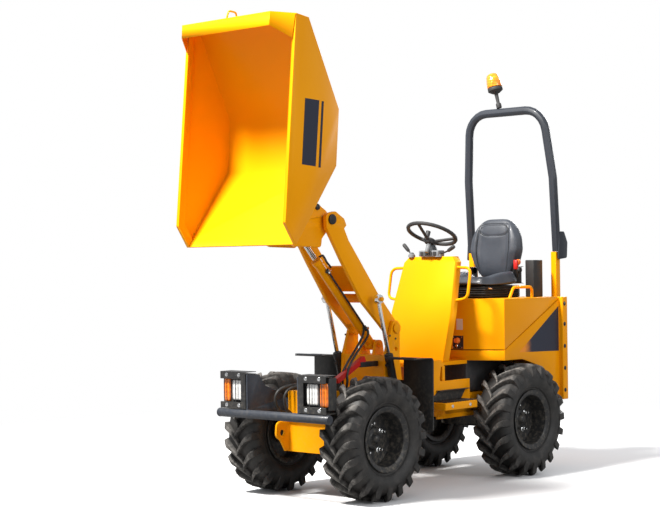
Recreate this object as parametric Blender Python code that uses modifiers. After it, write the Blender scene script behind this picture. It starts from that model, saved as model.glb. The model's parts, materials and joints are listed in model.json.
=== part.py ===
"""One-tonne high-tip site dumper, articulated, with its skip raised and tipped.

Frame: +X is the machine's left, it faces -Y, +Z is up, metres.  Stations along
Y are counted from the front axle and FRONT_AXLE_Y puts the origin under the
middle of the machine's box.
"""
import math

import bpy
import bmesh
from mathutils import Matrix, Vector

# ---------------------------------------------------------------- sizes
GAP = 0.0003                 # between pieces that touch
RUN_GAP = 0.0005             # round a turning pin
FRONT_AXLE_Y = -0.5955       # front axle in the machine's frame

# wheels
WHEELBASE = 1.3855
TYRE_R = 0.3455
TYRE_WIDTH = 0.2466
WHEEL_OUTER_X = 0.495
RIM_SEAT_R = 0.152
RIM_FLANGE_R = 0.184
RIM_WALL = 0.006
RIM_DISC_T = 0.010
HUB_R = 0.058
AXLE_TUBE_R = 0.042
AXLE_BOX = 0.118

# front frame
TOWER_PIN = (0.445, 0.940)           # Y, Z of the lift arms' pivot
TOWER_FACE_X = 0.172                 # outer face of the tower plates
TOWER_PLATE_T = 0.020
FRONT_BEAM_HALF_X = 0.140
FRONT_BEAM_Z = (0.405, 0.600)
NOSE_Y = -0.150
NOSE_T = 0.014
NOSE_LOW_Z = 0.256
TIE_HOLE = (-0.208, 0.366)             # Y, Z of the hole in the tie-down lug
TIE_HOLE_R = 0.019
TIE_LUG_T = 0.012
BLOCK_TOP_Z = 0.785
PIVOT_Y = 0.660                      # steering pivot between the frames
PIVOT_PIN_R = 0.028
TONGUE_Z = (0.440, 0.540)
TONGUE_R = 0.070
TILT_BASE = (0.420, 0.840)
LUG_T = 0.016
RAM_BASE = (0.427, 0.458)

# bumper and lamps
BUMPER_Y = -0.4165
BUMPER_Z = 0.4840
BUMPER_R = 0.0245
BUMPER_HALF_X = 0.4225
BUMPER_ARM_X = 0.196
LAMP_BOX = (0.205, 0.062, 0.178)
LAMP_CENTRE = (0.303, -0.368, 0.618)

# mudguards
GUARD_X = (0.245, 0.462)
GUARD_T = 0.005
GUARD_REAR_Y = 0.425
GUARD_Z = (0.360, 0.775)

# lift arms
ARM_FACE_X = 0.146
ARM_T = 0.025
SKIP_PIN = (-0.075, 1.570)           # Y, Z of the skip's pivot on the arms
SKIP_PIN_R = 0.020
ARM_PIN_R = 0.022
RAM_EYE = (0.255, 1.114)
RAM_X = 0.200

# rams
LIFT_BARREL_R = 0.0235
LIFT_ROD_R = 0.0125
LIFT_GLAND = 0.339                   # from the base pin to the gland
LIFT_ROD_INNER = 0.300
TILT_BARREL_R = 0.0270
TILT_ROD_R = 0.0150
TILT_GLAND = 0.690
TILT_ROD_INNER = 0.120
TILT_EYE = (-0.162, 1.453)

# skip
SKIP_HALF_X = 0.4212
SKIP_WALL = 0.006
SKIP_RIM_T = 0.022
SKIP_RIM_DEPTH = 0.045
SKIP_PROFILE = [                     # Y, Z corners of the side plate, as tipped
    (-0.636, 2.638),                 # rim, top
    (-0.538, 2.625),                 # crown
    (-0.309, 2.154),                 # back wall meets floor
    (-0.336, 1.846),                 # floor meets front wall
    (-0.657, 1.419),                 # lip
    (-0.737, 1.538),                 # rim, bottom
]
BRACKET_X = (0.086, 0.104)
GUARD_REACH = 0.108
GUARD_FOLD = 0.072
GUARD_HALF_X = 0.338

# rear frame
SIDE_PLATE_X = (0.246, 0.260)
RAIL_X = (0.150, 0.200)
RAIL_Z = (0.405, 0.520)
STEP_X = (0.2550, 0.385)
STEP_Y = (0.632, 0.940)
STEP_Z = (0.452, 0.496)
BODY_HALF_X = 0.405
BODY_WALL = 0.012
BODY_TOP_Z = 1.094
BODY_FRONT_Y = 1.090
BODY_FLARE_Y = 1.195
BODY_FRONT_HALF_X = 0.195
BODY_REAR_Y = 1.7845
SHUT_FRONT_Z = 0.782
SHUT_GAP = 0.006
BODY_LOW_Z = 0.718
PLATE_HALF_X = 0.432
PLATE_T = 0.055
PLATE_Z = (0.441, 1.0935)
COVER_HINGE = (1.768, 1.0895)
COVER_PIN_R = 0.0042

# roll-over frame
POST_X = 0.330
POST_W = 0.040
POST_D = 0.050
POST_TOP_Z = 1.382
POST_LOW_Z = 0.700
POST_MID_Y = BODY_REAR_Y + PLATE_T - 0.002 + POST_D / 2
HOOP_R = 0.0275
HOOP_TOP_Z = 2.300
HOOP_HINGE_Y = 1.918
HOOP_BEND_R = 0.150

# cowl, seat and wheel
COWL_DEPTH = 0.055
COWL_SECTIONS = [                    # Z, front Y, half width
    (0.722, 0.861, 0.186),
    (1.014, 0.884, 0.232),
    (1.322, 0.976, 0.200),
    (1.358, 0.990, 0.168),
]
HANDLE_R = 0.0095
SEAT_Y = (1.250, 1.668)
SEAT_HALF_X = 0.235
STEER_HUB = (0.0, 0.984, 1.452)
STEER_R = 0.152
STEER_TUBE_R = 0.0125
STEER_DISH = 0.052                   # rim above the hub
STEER_TILT = math.radians(25.0)

# ---------------------------------------------------------------- finishes
FINISHES = {                         # colour, roughness, metallic
    "yellow": ((0.90, 0.47, 0.015), 0.36, 0.0),
    "slate": ((0.045, 0.052, 0.062), 0.45, 0.2),
    "black": ((0.014, 0.014, 0.015), 0.55, 0.0),
    "rubber": ((0.018, 0.018, 0.018), 0.82, 0.0),
    "rim_black": ((0.012, 0.012, 0.013), 0.35, 0.2),
    "chrome": ((0.75, 0.76, 0.78), 0.12, 1.0),
    "vinyl": ((0.035, 0.038, 0.043), 0.50, 0.0),
    "amber": ((0.95, 0.33, 0.01), 0.18, 0.0),
    "grey": ((0.20, 0.21, 0.22), 0.55, 0.0),
    "engine": ((0.055, 0.055, 0.058), 0.60, 0.3),
    "red": ((0.55, 0.02, 0.015), 0.40, 0.0),
}

for item in list(bpy.data.objects):
    bpy.data.objects.remove(item, do_unlink=True)

parts = bpy.data.collections.new("site_dumper")
cutters = bpy.data.collections.new("cutters")
bpy.context.scene.collection.children.link(parts)
bpy.context.scene.collection.children.link(cutters)

X_TO_Y = (math.pi / 2, 0.0, math.pi / 2)     # outline in YZ, thickness along X
UPRIGHT = (math.pi / 2, 0.0, 0.0)            # outline in XZ, thickness along Y
FLAT = (0.0, 0.0, 0.0)                       # outline in XY, thickness along Z
AXLE_WAY = (0.0, math.pi / 2, 0.0)           # a cylinder lying along X


# ---------------------------------------------------------------- helpers
def finish(name):
    material = bpy.data.materials.new(name)
    material.use_nodes = True
    shader = material.node_tree.nodes["Principled BSDF"]
    return material, shader


def paint(piece, kind):
    colour, roughness, metallic = FINISHES[kind]
    material, shader = finish(piece.name + "_" + kind)
    shader.inputs["Base Color"].default_value = (*colour, 1.0)
    shader.inputs["Roughness"].default_value = roughness
    shader.inputs["Metallic"].default_value = metallic
    piece.data.materials.clear()
    piece.data.materials.append(material)


def empty(name, location, parent=None):
    pivot = bpy.data.objects.new(name, None)
    pivot.empty_display_size = 0.1
    parts.objects.link(pivot)
    pivot.parent = parent
    pivot.location = location
    return pivot


def link(name, data, collection=None):
    piece = bpy.data.objects.new(name, data)
    (collection or parts).objects.link(piece)
    return piece


def smooth(piece, angle=30.0):
    piece.data.shade_smooth()
    piece.data.set_sharp_from_angle(angle=math.radians(angle))


def as_mesh(piece):
    """The piece as a plain mesh object with its seams welded."""
    bpy.context.view_layer.update()
    graph = bpy.context.evaluated_depsgraph_get()
    mesh = bpy.data.meshes.new_from_object(piece.evaluated_get(graph))
    shape = bmesh.new()
    shape.from_mesh(mesh)
    bmesh.ops.remove_doubles(shape, verts=shape.verts, dist=0.00001)
    bmesh.ops.recalc_face_normals(shape, faces=shape.faces)
    shape.to_mesh(mesh)
    shape.free()
    solid = link(piece.name, mesh)
    solid.matrix_world = piece.matrix_world.copy()
    name = piece.name
    bpy.data.objects.remove(piece, do_unlink=True)
    solid.name = name
    return solid


def combine(piece, others, operation):
    """Weld the others on to the piece, or cut them out of it."""
    piece = as_mesh(piece)
    for other in others:
        tool = as_mesh(other)
        parts.objects.unlink(tool)
        cutters.objects.link(tool)
        tool.hide_render = True
        tool.display_type = "WIRE"
        step = piece.modifiers.new(operation.lower(), "BOOLEAN")
        step.operation = operation
        step.object = tool
    return piece


def weld(piece, others):
    return combine(piece, others, "UNION")


def cut(piece, others):
    return combine(piece, others, "DIFFERENCE")


def box(name, low, high, bevel=0.0):
    size = [b - a for a, b in zip(low, high)]
    centre = [(a + b) / 2 for a, b in zip(low, high)]
    shape = bmesh.new()
    bmesh.ops.create_cube(shape, size=1.0)
    bmesh.ops.scale(shape, vec=size, verts=shape.verts)
    mesh = bpy.data.meshes.new(name)
    shape.to_mesh(mesh)
    shape.free()
    piece = link(name, mesh)
    piece.location = centre
    if bevel:
        edge = piece.modifiers.new("edges", "BEVEL")
        edge.width = bevel
        edge.segments = 2
    return piece


def cylinder(name, radius, length, centre, turn=AXLE_WAY, sides=20):
    shape = bmesh.new()
    bmesh.ops.create_cone(
        shape, cap_ends=True, segments=sides, radius1=radius, radius2=radius, depth=length
    )
    mesh = bpy.data.meshes.new(name)
    shape.to_mesh(mesh)
    shape.free()
    piece = link(name, mesh)
    piece.location = centre
    piece.rotation_euler = turn
    smooth(piece)
    return piece


def rod_between(name, start, end, radius, sides=20):
    start, end = Vector(start), Vector(end)
    way = end - start
    piece = cylinder(name, radius, way.length, (start + end) / 2, FLAT, sides)
    piece.rotation_mode = "QUATERNION"
    piece.rotation_quaternion = way.to_track_quat("Z", "Y")
    return piece


def plate(name, outline, low, high, turn=X_TO_Y):
    """A flat outline given thickness from low to high along its normal."""
    curve = bpy.data.curves.new(name, "CURVE")
    curve.dimensions = "2D"
    curve.fill_mode = "BOTH"
    curve.extrude = (high - low) / 2
    edge = curve.splines.new("POLY")
    edge.points.add(len(outline) - 1)
    for point, (u, v) in zip(edge.points, outline):
        point.co = (u, v, 0.0, 1.0)
    edge.use_cyclic_u = True
    piece = link(name, curve)
    piece.rotation_euler = turn
    middle = (low + high) / 2
    if turn == X_TO_Y:
        piece.location = (middle, 0.0, 0.0)
    elif turn == UPRIGHT:
        piece.location = (0.0, middle, 0.0)
    else:
        piece.location = (0.0, 0.0, middle)
    return piece


def rounded(corners, steps=3):
    """Corner points (u, v, radius) of an outline, with arcs at the corners."""
    outline = []
    count = len(corners)
    for index, (u, v, radius) in enumerate(corners):
        here = Vector((u, v))
        if radius <= 0.0:
            outline.append((u, v))
            continue
        before = Vector(corners[index - 1][:2])
        after = Vector(corners[(index + 1) % count][:2])
        outline.extend(tuple(p) for p in arc(before, here, after, radius, steps))
    return outline


def arc(before, here, after, radius, steps):
    """Points of the arc that rounds the corner at here."""
    back = (before - here).normalized()
    on = (after - here).normalized()
    half = back.angle(on) / 2
    reach = radius / math.tan(half)
    reach = min(reach, 0.49 * (before - here).length, 0.49 * (after - here).length)
    radius = reach * math.tan(half)
    centre = here + (back + on).normalized() * (radius / math.sin(half))
    start = here + back * reach - centre
    end = here + on * reach - centre
    turn = start.angle(end)
    points = []
    for step in range(steps + 1):
        share = step / steps
        a = math.sin((1 - share) * turn) / math.sin(turn)
        b = math.sin(share * turn) / math.sin(turn)
        points.append(centre + start * a + end * b)
    return points


def bent_path(corners, radius, steps=5):
    """A 3-D run of straight lengths joined by bends of one radius."""
    corners = [Vector(corner) for corner in corners]
    path = [corners[0]]
    for before, here, after in zip(corners, corners[1:], corners[2:]):
        path.extend(arc(before, here, after, radius, steps))
    path.append(corners[-1])
    return path


def tube(name, path, radius, resolution=3):
    curve = bpy.data.curves.new(name, "CURVE")
    curve.dimensions = "3D"
    curve.bevel_depth = radius
    curve.bevel_resolution = resolution
    curve.use_fill_caps = True
    run = curve.splines.new("POLY")
    run.points.add(len(path) - 1)
    for point, place in zip(run.points, path):
        point.co = (*place, 1.0)
    return link(name, curve)


def turned(name, profile, centre, turn=AXLE_WAY, steps=32, closed=False):
    """A profile (radius, height) swept round the local Z axis."""
    shape = bmesh.new()
    points = [shape.verts.new((radius, 0.0, height)) for radius, height in profile]
    for a, b in zip(points, points[1:]):
        shape.edges.new((a, b))
    if closed:
        shape.edges.new((points[-1], points[0]))
    mesh = bpy.data.meshes.new(name)
    shape.to_mesh(mesh)
    shape.free()
    piece = link(name, mesh)
    piece.location = centre
    piece.rotation_euler = turn
    sweep = piece.modifiers.new("sweep", "SCREW")
    sweep.axis = "Z"
    sweep.steps = steps
    sweep.render_steps = steps
    sweep.use_merge_vertices = True
    sweep.merge_threshold = 0.0001
    sweep.use_smooth_shade = True
    return piece


def hang(piece, pivot):
    """Parent the piece to its pivot, in the place where it was modelled."""
    place = piece.matrix_world.copy()
    piece.parent = pivot
    piece.matrix_parent_inverse = Matrix.Identity(4)
    here = Vector(PIVOT_PLACES[pivot.name])
    piece.matrix_basis = Matrix.Translation(-here) @ place


def attach(piece, kind, pivot):
    """Paint the piece and hang it, with its cutters, from its body's pivot."""
    paint(piece, kind)
    bpy.context.view_layer.update()
    tools = [step.object for step in piece.modifiers if step.type == "BOOLEAN"]
    for member in [piece, *tools]:
        hang(member, pivot)


def inset(corners, distances):
    """The outline with each side i moved inwards by distances[i]."""
    count = len(corners)
    centre = Vector((sum(c[0] for c in corners) / count, sum(c[1] for c in corners) / count))
    lines = []
    for index in range(count):
        a = Vector(corners[index])
        b = Vector(corners[(index + 1) % count])
        way = (b - a).normalized()
        normal = Vector((-way.y, way.x))
        if normal.dot(centre - a) < 0:
            normal = -normal
        lines.append((a + normal * distances[index], way))
    result = []
    for index in range(count):
        (p, d), (q, e) = lines[index - 1], lines[index]
        across = d.x * e.y - d.y * e.x
        share = ((q.x - p.x) * e.y - (q.y - p.y) * e.x) / across
        result.append(tuple(p + d * share))
    return result


def between(start, end, share):
    return tuple(a + (b - a) * share for a, b in zip(start, end))


# ---------------------------------------------------------------- joint axes
root = empty("machine", (0.0, FRONT_AXLE_Y, 0.0))
WHEEL_MID_X = WHEEL_OUTER_X - TYRE_WIDTH / 2
PIVOT_PLACES = {
    "rear_frame": (0.0, 0.0, 0.0),
    "steering_axis": (0.0, PIVOT_Y, 0.0),
    "lift_arm_axis": (0.0, *TOWER_PIN),
    "skip_axis": (0.0, *SKIP_PIN),
    "lift_ram_left_axis": (RAM_X, *RAM_BASE),
    "lift_ram_right_axis": (-RAM_X, *RAM_BASE),
    "tilt_ram_axis": (0.0, *TILT_BASE),
    "cover_axis": (0.0, *COVER_HINGE),
    "hoop_axis": (0.0, HOOP_HINGE_Y, POST_TOP_Z),
    "wheel_front_left_axis": (WHEEL_MID_X, 0.0, TYRE_R),
    "wheel_front_right_axis": (-WHEEL_MID_X, 0.0, TYRE_R),
    "wheel_rear_left_axis": (WHEEL_MID_X, WHEELBASE, TYRE_R),
    "wheel_rear_right_axis": (-WHEEL_MID_X, WHEELBASE, TYRE_R),
    "steering_wheel_axis": STEER_HUB,
}
axes = {name: empty(name, place, root) for name, place in PIVOT_PLACES.items()}
rear = axes["rear_frame"]
front = axes["steering_axis"]
arms = axes["lift_arm_axis"]
skip = axes["skip_axis"]
cover = axes["cover_axis"]
hoop = axes["hoop_axis"]


# ---------------------------------------------------------------- wheels
def tyre_profile():
    half = TYRE_WIDTH / 2
    seat = RIM_SEAT_R + RIM_WALL + GAP
    bead = half - 0.0448
    return [
        (seat, bead),
        (RIM_FLANGE_R + 0.012, bead + 0.0135),
        (RIM_FLANGE_R + 0.0125, half - 0.012),
        (RIM_FLANGE_R + 0.055, half),
        (TYRE_R - 0.050, half - 0.002),
        (TYRE_R - 0.020, half - 0.012),
        (TYRE_R, half - 0.030),
        (TYRE_R, -half + 0.030),
        (TYRE_R - 0.020, -half + 0.012),
        (TYRE_R - 0.050, -half + 0.002),
        (RIM_FLANGE_R + 0.055, -half),
        (RIM_FLANGE_R + 0.0125, -half + 0.012),
        (RIM_FLANGE_R + 0.012, -bead - 0.0135),
        (seat, -bead),
    ]


def rim_profile():
    edge = TYRE_WIDTH / 2 - 0.022
    lip = 0.007
    disc = -0.014
    return [
        (0.0, disc + 0.020),
        (HUB_R, disc + 0.020),
        (HUB_R + 0.012, disc),
        (RIM_SEAT_R, disc),
        (RIM_SEAT_R, edge - 0.012),
        (RIM_FLANGE_R - 0.004, edge),
        (RIM_FLANGE_R, edge - 0.002),
        (RIM_FLANGE_R, edge - lip),
        (RIM_SEAT_R + RIM_WALL, edge - 0.014 - lip),
        (RIM_SEAT_R + RIM_WALL, -edge + 0.014 + lip),
        (RIM_FLANGE_R, -edge + lip),
        (RIM_FLANGE_R, -edge + 0.002),
        (RIM_FLANGE_R - 0.004, -edge),
        (RIM_SEAT_R, -edge + 0.012),
        (RIM_SEAT_R, disc - RIM_DISC_T),
        (0.0, disc - RIM_DISC_T),
    ]


def wheels():
    for end, station in (("front", 0.0), ("rear", WHEELBASE)):
        for side, sign in (("left", 1.0), ("right", -1.0)):
            label = end + "_" + side
            centre = (sign * WHEEL_MID_X, station, TYRE_R)
            turn = (0.0, sign * math.pi / 2, 0.0)
            pivot = axes["wheel_" + label + "_axis"]
            tyre = turned("tyre_" + label, tyre_profile(), centre, turn, 28, True)
            attach(tyre, "rubber", pivot)
            rim = turned("rim_" + label, rim_profile(), centre, turn, 28)
            attach(rim, "rim_black", pivot)


def axle(name, station, pivot):
    inner = WHEEL_MID_X - 0.014 - RIM_DISC_T - GAP
    half = AXLE_BOX / 2
    beam = box(name, (-0.205, station - half, TYRE_R - half), (0.205, station + half, TYRE_R + half), 0.012)
    shaft = cylinder(name + "_shaft", AXLE_TUBE_R, 2 * inner, (0.0, station, TYRE_R))
    flanges = [
        cylinder(name + "_flange", HUB_R + 0.010, 0.016, (s * (inner - 0.008), station, TYRE_R))
        for s in (1.0, -1.0)
    ]
    attach(weld(beam, [shaft, *flanges]), "black", pivot)


# ---------------------------------------------------------------- front frame
def front_chassis():
    half = FRONT_BEAM_HALF_X
    low, top = FRONT_BEAM_Z
    beam = box("front_chassis", (-half, NOSE_Y + 0.002, low), (half, 0.480, top))
    nose = box("nose", (-half - 0.004, NOSE_Y, NOSE_LOW_Z), (half + 0.004, NOSE_Y + NOSE_T, 0.452))
    flange = box("flange", (-half - 0.020, NOSE_Y - 0.020, 0.438), (half + 0.020, NOSE_Y + 0.030, 0.452))
    inner = TOWER_FACE_X - TOWER_PLATE_T
    block = box("block", (-inner - 0.002, 0.348, 0.425), (inner + 0.002, 0.478, BLOCK_TOP_Z))
    tongue_outline = rounded([
        (-TONGUE_R, 0.470, 0.0),
        (TONGUE_R, 0.470, 0.0),
        (TONGUE_R, PIVOT_Y + TONGUE_R, TONGUE_R * 0.98),
        (-TONGUE_R, PIVOT_Y + TONGUE_R, TONGUE_R * 0.98),
    ], 8)
    tongue = plate("tongue", tongue_outline, *TONGUE_Z, FLAT)
    lugs = []
    for low_x in (-0.045 - LUG_T, 0.045):
        outline = rounded([
            (TILT_BASE[0] - 0.050, BLOCK_TOP_Z - 0.010, 0.0),
            (TILT_BASE[0] + 0.045, BLOCK_TOP_Z - 0.010, 0.0),
            (TILT_BASE[0] + 0.030, TILT_BASE[1] + 0.030, 0.028),
            (TILT_BASE[0] - 0.030, TILT_BASE[1] + 0.030, 0.028),
        ])
        lugs.append(plate("lug", outline, low_x, low_x + LUG_T))
    tie_y, tie_z = TIE_HOLE
    tie_outline = rounded([
        (NOSE_Y + 0.004, NOSE_LOW_Z + 0.004, 0.0),
        (NOSE_Y - 0.034, NOSE_LOW_Z + 0.004, 0.0),
        (tie_y - 0.014, tie_z - 0.044, 0.015),
        (tie_y - 0.052, tie_z - 0.020, 0.030),
        (tie_y - 0.044, tie_z + 0.064, 0.030),
        (NOSE_Y + 0.004, tie_z + 0.066, 0.0),
    ])
    tie_x = -half - 0.003
    tie_lug = plate("tie_lug", tie_outline, tie_x, tie_x + TIE_LUG_T)
    body = weld(beam, [nose, flange, block, tongue, tie_lug, *lugs, *tower_plates()])
    y, z = TOWER_PIN
    bores = [
        cylinder("lug_bore", 0.0155, 0.200, (0.0, *TILT_BASE)),
        cylinder("tongue_bore", PIVOT_PIN_R + RUN_GAP, 0.200, (0.0, PIVOT_Y, 0.490), FLAT),
        cylinder("arm_bore", ARM_PIN_R + RUN_GAP, 0.500, (0.0, y, z)),
        cylinder("tie_bore", TIE_HOLE_R, 0.050, (tie_x, *TIE_HOLE)),
    ]
    for sign in (1.0, -1.0):
        x = sign * TOWER_FACE_X
        bores.append(cylinder("eye_bore", 0.0125, 0.030, (x, y - 0.004, z - 0.122)))
        bores.append(cylinder("ram_bore", 0.0130, 0.042, (x, *RAM_BASE)))
    attach(cut(body, bores), "yellow", front)


def tower_plates():
    y, z = TOWER_PIN
    inner = TOWER_FACE_X - TOWER_PLATE_T
    outline = rounded([
        (0.330, 0.420, 0.0),
        (0.492, 0.420, 0.0),
        (0.492, 0.640, 0.030),
        (0.474, 0.760, 0.030),
        (y + 0.034, z + 0.020, 0.020),
        (y + 0.012, z + 0.045, 0.020),
        (y - 0.028, z + 0.045, 0.025),
        (y - 0.045, z - 0.010, 0.030),
        (0.345, 0.780, 0.030),
    ])
    return [
        plate("tower", outline, *sorted((sign * inner, sign * TOWER_FACE_X)))
        for sign in (1.0, -1.0)
    ]


def bumper():
    ends = [(-BUMPER_HALF_X, BUMPER_Y, BUMPER_Z), (BUMPER_HALF_X, BUMPER_Y, BUMPER_Z)]
    bar = cylinder("bumper_bar", BUMPER_R, 2 * BUMPER_HALF_X, (0.0, BUMPER_Y, BUMPER_Z), sides=28)
    holders = []
    for sign in (1.0, -1.0):
        outline = [
            (BUMPER_Y - 0.008, BUMPER_Z + 0.010),
            (BUMPER_Y - 0.008, 0.708),
            (BUMPER_Y + 0.090, 0.700),
            (BUMPER_Y + 0.130, 0.640),
            (-0.100, 0.560),
            (-0.100, 0.470),
            (BUMPER_Y + 0.030, BUMPER_Z - 0.014),
            (BUMPER_Y, BUMPER_Z - 0.016),
        ]
        low = sign * BUMPER_ARM_X - 0.004
        holders.append(plate("bumper_arm", outline, low, low + 0.008))
    cross = box("bumper_cross", (-0.199, -0.125, 0.475), (0.199, -0.103, 0.555))
    middle = FRONT_BEAM_HALF_X + GAP
    slot = box("bumper_slot", (-middle, -0.150, 0.400), (middle, 0.0, 0.600 + GAP))
    body = weld(bar, [*holders, cross])
    attach(cut(body, [slot]), "slate", front)


def lamp_boxes():
    wide, deep, tall = LAMP_BOX
    x, y, z = LAMP_CENTRE
    for side, sign in (("left", 1.0), ("right", -1.0)):
        low = (min(sign * (x - wide / 2), sign * (x + wide / 2)), y - deep / 2, z - tall / 2)
        high = (max(sign * (x - wide / 2), sign * (x + wide / 2)), y + deep / 2, z + tall / 2)
        attach(box("lamp_box_" + side, low, high, 0.004), "black", front)


def mudguards():
    low_z, top_z = GUARD_Z
    rear_y = GUARD_REAR_Y
    outline = rounded([
        (rear_y - 0.010, low_z, 0.0),
        (rear_y, low_z, 0.0),
        (rear_y + 0.006, top_z, 0.020),
        (rear_y - 0.175, top_z + 0.004, 0.0),
        (rear_y - 0.175, top_z - GUARD_T, 0.0),
        (rear_y - GUARD_T, top_z - GUARD_T - 0.001, 0.015),
    ])
    for side, sign in (("left", 1.0), ("right", -1.0)):
        low, high = sorted((sign * GUARD_X[0], sign * GUARD_X[1]))
        flap = plate("mudguard_" + side, outline, low, high)
        near, far = sorted((sign * (TOWER_FACE_X + GAP), sign * (GUARD_X[0] + 0.020)))
        stay = box("stay", (near, rear_y - 0.001, 0.590), (far, rear_y + 0.012, 0.640))
        attach(weld(flap, [stay]), "black", front)


# ---------------------------------------------------------------- lift arms
def arm_outline():
    return rounded([
        (-0.122, 1.600, 0.030),
        (-0.117, 1.524, 0.020),
        (0.011, 1.333, 0.0),
        (0.185, 1.094, 0.040),
        (0.337, 0.961, 0.040),
        (0.405, 0.898, 0.030),
        (0.478, 0.902, 0.034),
        (0.486, 0.968, 0.034),
        (0.318, 1.143, 0.030),
        (0.066, 1.452, 0.0),
        (0.029, 1.519, 0.0),
        (0.049, 1.538, 0.0),
        (0.030, 1.575, 0.0),
        (-0.045, 1.617, 0.030),
    ])


def lift_arms():
    inner = ARM_FACE_X - ARM_T
    left = plate("lift_arms", arm_outline(), inner, ARM_FACE_X)
    right = plate("arm_right", arm_outline(), -ARM_FACE_X, -inner)
    reach = inner + 0.004
    web_outline = [(0.178, 1.300), (0.190, 1.309), (0.306, 1.165), (0.294, 1.156)]
    web = plate("arm_web", web_outline, -reach, reach)
    cross = cylinder("arm_tube", 0.026, 2 * reach, (0.0, 0.275, 1.118))
    pins = []
    for sign in (1.0, -1.0):
        inside = inner - 0.010
        outside = TOWER_FACE_X + 0.008
        middle = sign * (inside + outside) / 2
        pins.append(cylinder("pin", ARM_PIN_R, outside - inside, (middle, *TOWER_PIN)))
        pins.append(cylinder("head", 0.030, 0.008, (sign * (outside - 0.001), *TOWER_PIN)))
    body = weld(left, [right, web, cross, *pins])
    bore = cylinder("bore", SKIP_PIN_R + RUN_GAP, 0.500, (0.0, *SKIP_PIN))
    attach(cut(body, [bore]), "yellow", arms)


def skip_shaft():
    half = ARM_FACE_X + 0.010
    shaft = cylinder("skip_pivot_shaft", SKIP_PIN_R, 2 * half, (0.0, *SKIP_PIN))
    heads = [
        cylinder("head", 0.029, 0.009, (sign * (ARM_FACE_X + 0.0055), *SKIP_PIN))
        for sign in (1.0, -1.0)
    ]
    attach(weld(shaft, heads), "black", skip)


# ---------------------------------------------------------------- rams
def along(start, end, distance):
    """The Y, Z point at a distance from start towards end."""
    way = (Vector(end) - Vector(start)).normalized()
    return tuple(Vector(start) + way * distance)


def ram(label, x, base, eye, sizes, kinds, axis, pin_half, eye_half):
    """A barrel on its base pin and a rod with its eye, both lying in a YZ plane."""
    barrel_r, rod_r, gland, rod_inner = sizes
    barrel_kind, rod_kind = kinds
    near = along(base, eye, 0.020)
    top = along(base, eye, gland)
    barrel = rod_between(label + "_barrel", (x, *near), (x, *top), barrel_r, 16)
    boss = cylinder("boss", barrel_r + 0.004, 2 * eye_half, (x, *base))
    pin = cylinder("pin", 0.0145 if barrel_r > 0.025 else 0.0125, pin_half[1] - pin_half[0],
                   ((pin_half[0] + pin_half[1]) / 2, *base))
    collar = rod_between("collar", (x, *along(base, eye, gland - 0.030)), (x, *top), barrel_r + 0.003, 16)
    bore_start = along(base, eye, 0.036)
    bore_end = along(base, eye, gland + 0.020)
    bore = rod_between("bore", (x, *bore_start), (x, *bore_end), rod_r + RUN_GAP, 16)
    body = cut(weld(barrel, [boss, pin, collar]), [bore])
    attach(body, barrel_kind, axes[axis])
    length = (Vector(eye) - Vector(base)).length
    rod = rod_between(label + "_rod", (x, *along(base, eye, rod_inner)),
                      (x, *along(base, eye, length - 0.010)), rod_r, 16)
    head = cylinder("rod_eye", rod_r + 0.014, 2 * eye_half, (x, *eye))
    attach(weld(rod, [head]), rod_kind, axes[axis])


def rams():
    lift_sizes = (LIFT_BARREL_R, LIFT_ROD_R, LIFT_GLAND, LIFT_ROD_INNER)
    tilt_sizes = (TILT_BARREL_R, TILT_ROD_R, TILT_GLAND, TILT_ROD_INNER)
    for side, sign in (("left", 1.0), ("right", -1.0)):
        pin_span = sorted((sign * (TOWER_FACE_X - 0.016), sign * (RAM_X + 0.026)))
        ram("lift_ram_" + side, sign * RAM_X, RAM_BASE, RAM_EYE, lift_sizes,
            ("black", "chrome"), "lift_ram_" + side + "_axis", pin_span, 0.018)
    ram("tilt_ram", 0.0, TILT_BASE, TILT_EYE, tilt_sizes,
        ("yellow", "chrome"), "tilt_ram_axis", (-0.066, 0.066), 0.028)


# ---------------------------------------------------------------- skip
def skip_tub():
    half = SKIP_HALF_X
    wall = SKIP_WALL
    deep = SKIP_RIM_DEPTH
    outer = plate("skip_tub", SKIP_PROFILE, -half, half)
    hollow_outline = inset(SKIP_PROFILE, [wall, wall, wall, wall, deep, deep])
    mouth_outline = inset(SKIP_PROFILE, [wall, wall, wall, wall, -0.050, -0.050])
    hollow = plate("hollow", hollow_outline, -half + wall, half - wall)
    mouth_half = half - SKIP_RIM_T
    mouth = plate("mouth", mouth_outline, -mouth_half, mouth_half)
    attach(cut(outer, [hollow, mouth]), "yellow", skip)


def skip_guard():
    """The folded plate above the mouth, with its two corner gussets."""
    y = SKIP_PROFILE[0][0] - GAP - 0.0022
    z = SKIP_PROFILE[0][1] - 0.003
    out_y = y - GUARD_REACH
    wide = SKIP_HALF_X - 0.004
    narrow = GUARD_HALF_X
    low_z = 2.506
    top, low = SKIP_PROFILE[0], SKIP_PROFILE[5]
    rim_y = top[0] + (low_z - top[1]) * (low[0] - top[0]) / (low[1] - top[1])
    right = [
        (wide, y, z),
        (narrow, out_y, z + 0.007),
        (narrow - 0.002, out_y - 0.006, z + 0.007 - GUARD_FOLD),
        (wide - 0.012, rim_y - 0.0045, low_z),
    ]
    corners = right + [(-px, py, pz) for px, py, pz in right]
    faces = [(0, 4, 5, 1), (1, 5, 6, 2), (0, 1, 2, 3), (4, 7, 6, 5)]
    mesh = bpy.data.meshes.new("skip_guard")
    mesh.from_pydata(corners, [], faces)
    guard = link("skip_guard", mesh)
    skin = guard.modifiers.new("sheet", "SOLIDIFY")
    skin.thickness = 0.004
    skin.offset = 0.0
    skin.use_even_offset = True
    attach(weld(guard, [lifting_eye()]), "yellow", skip)


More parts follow.
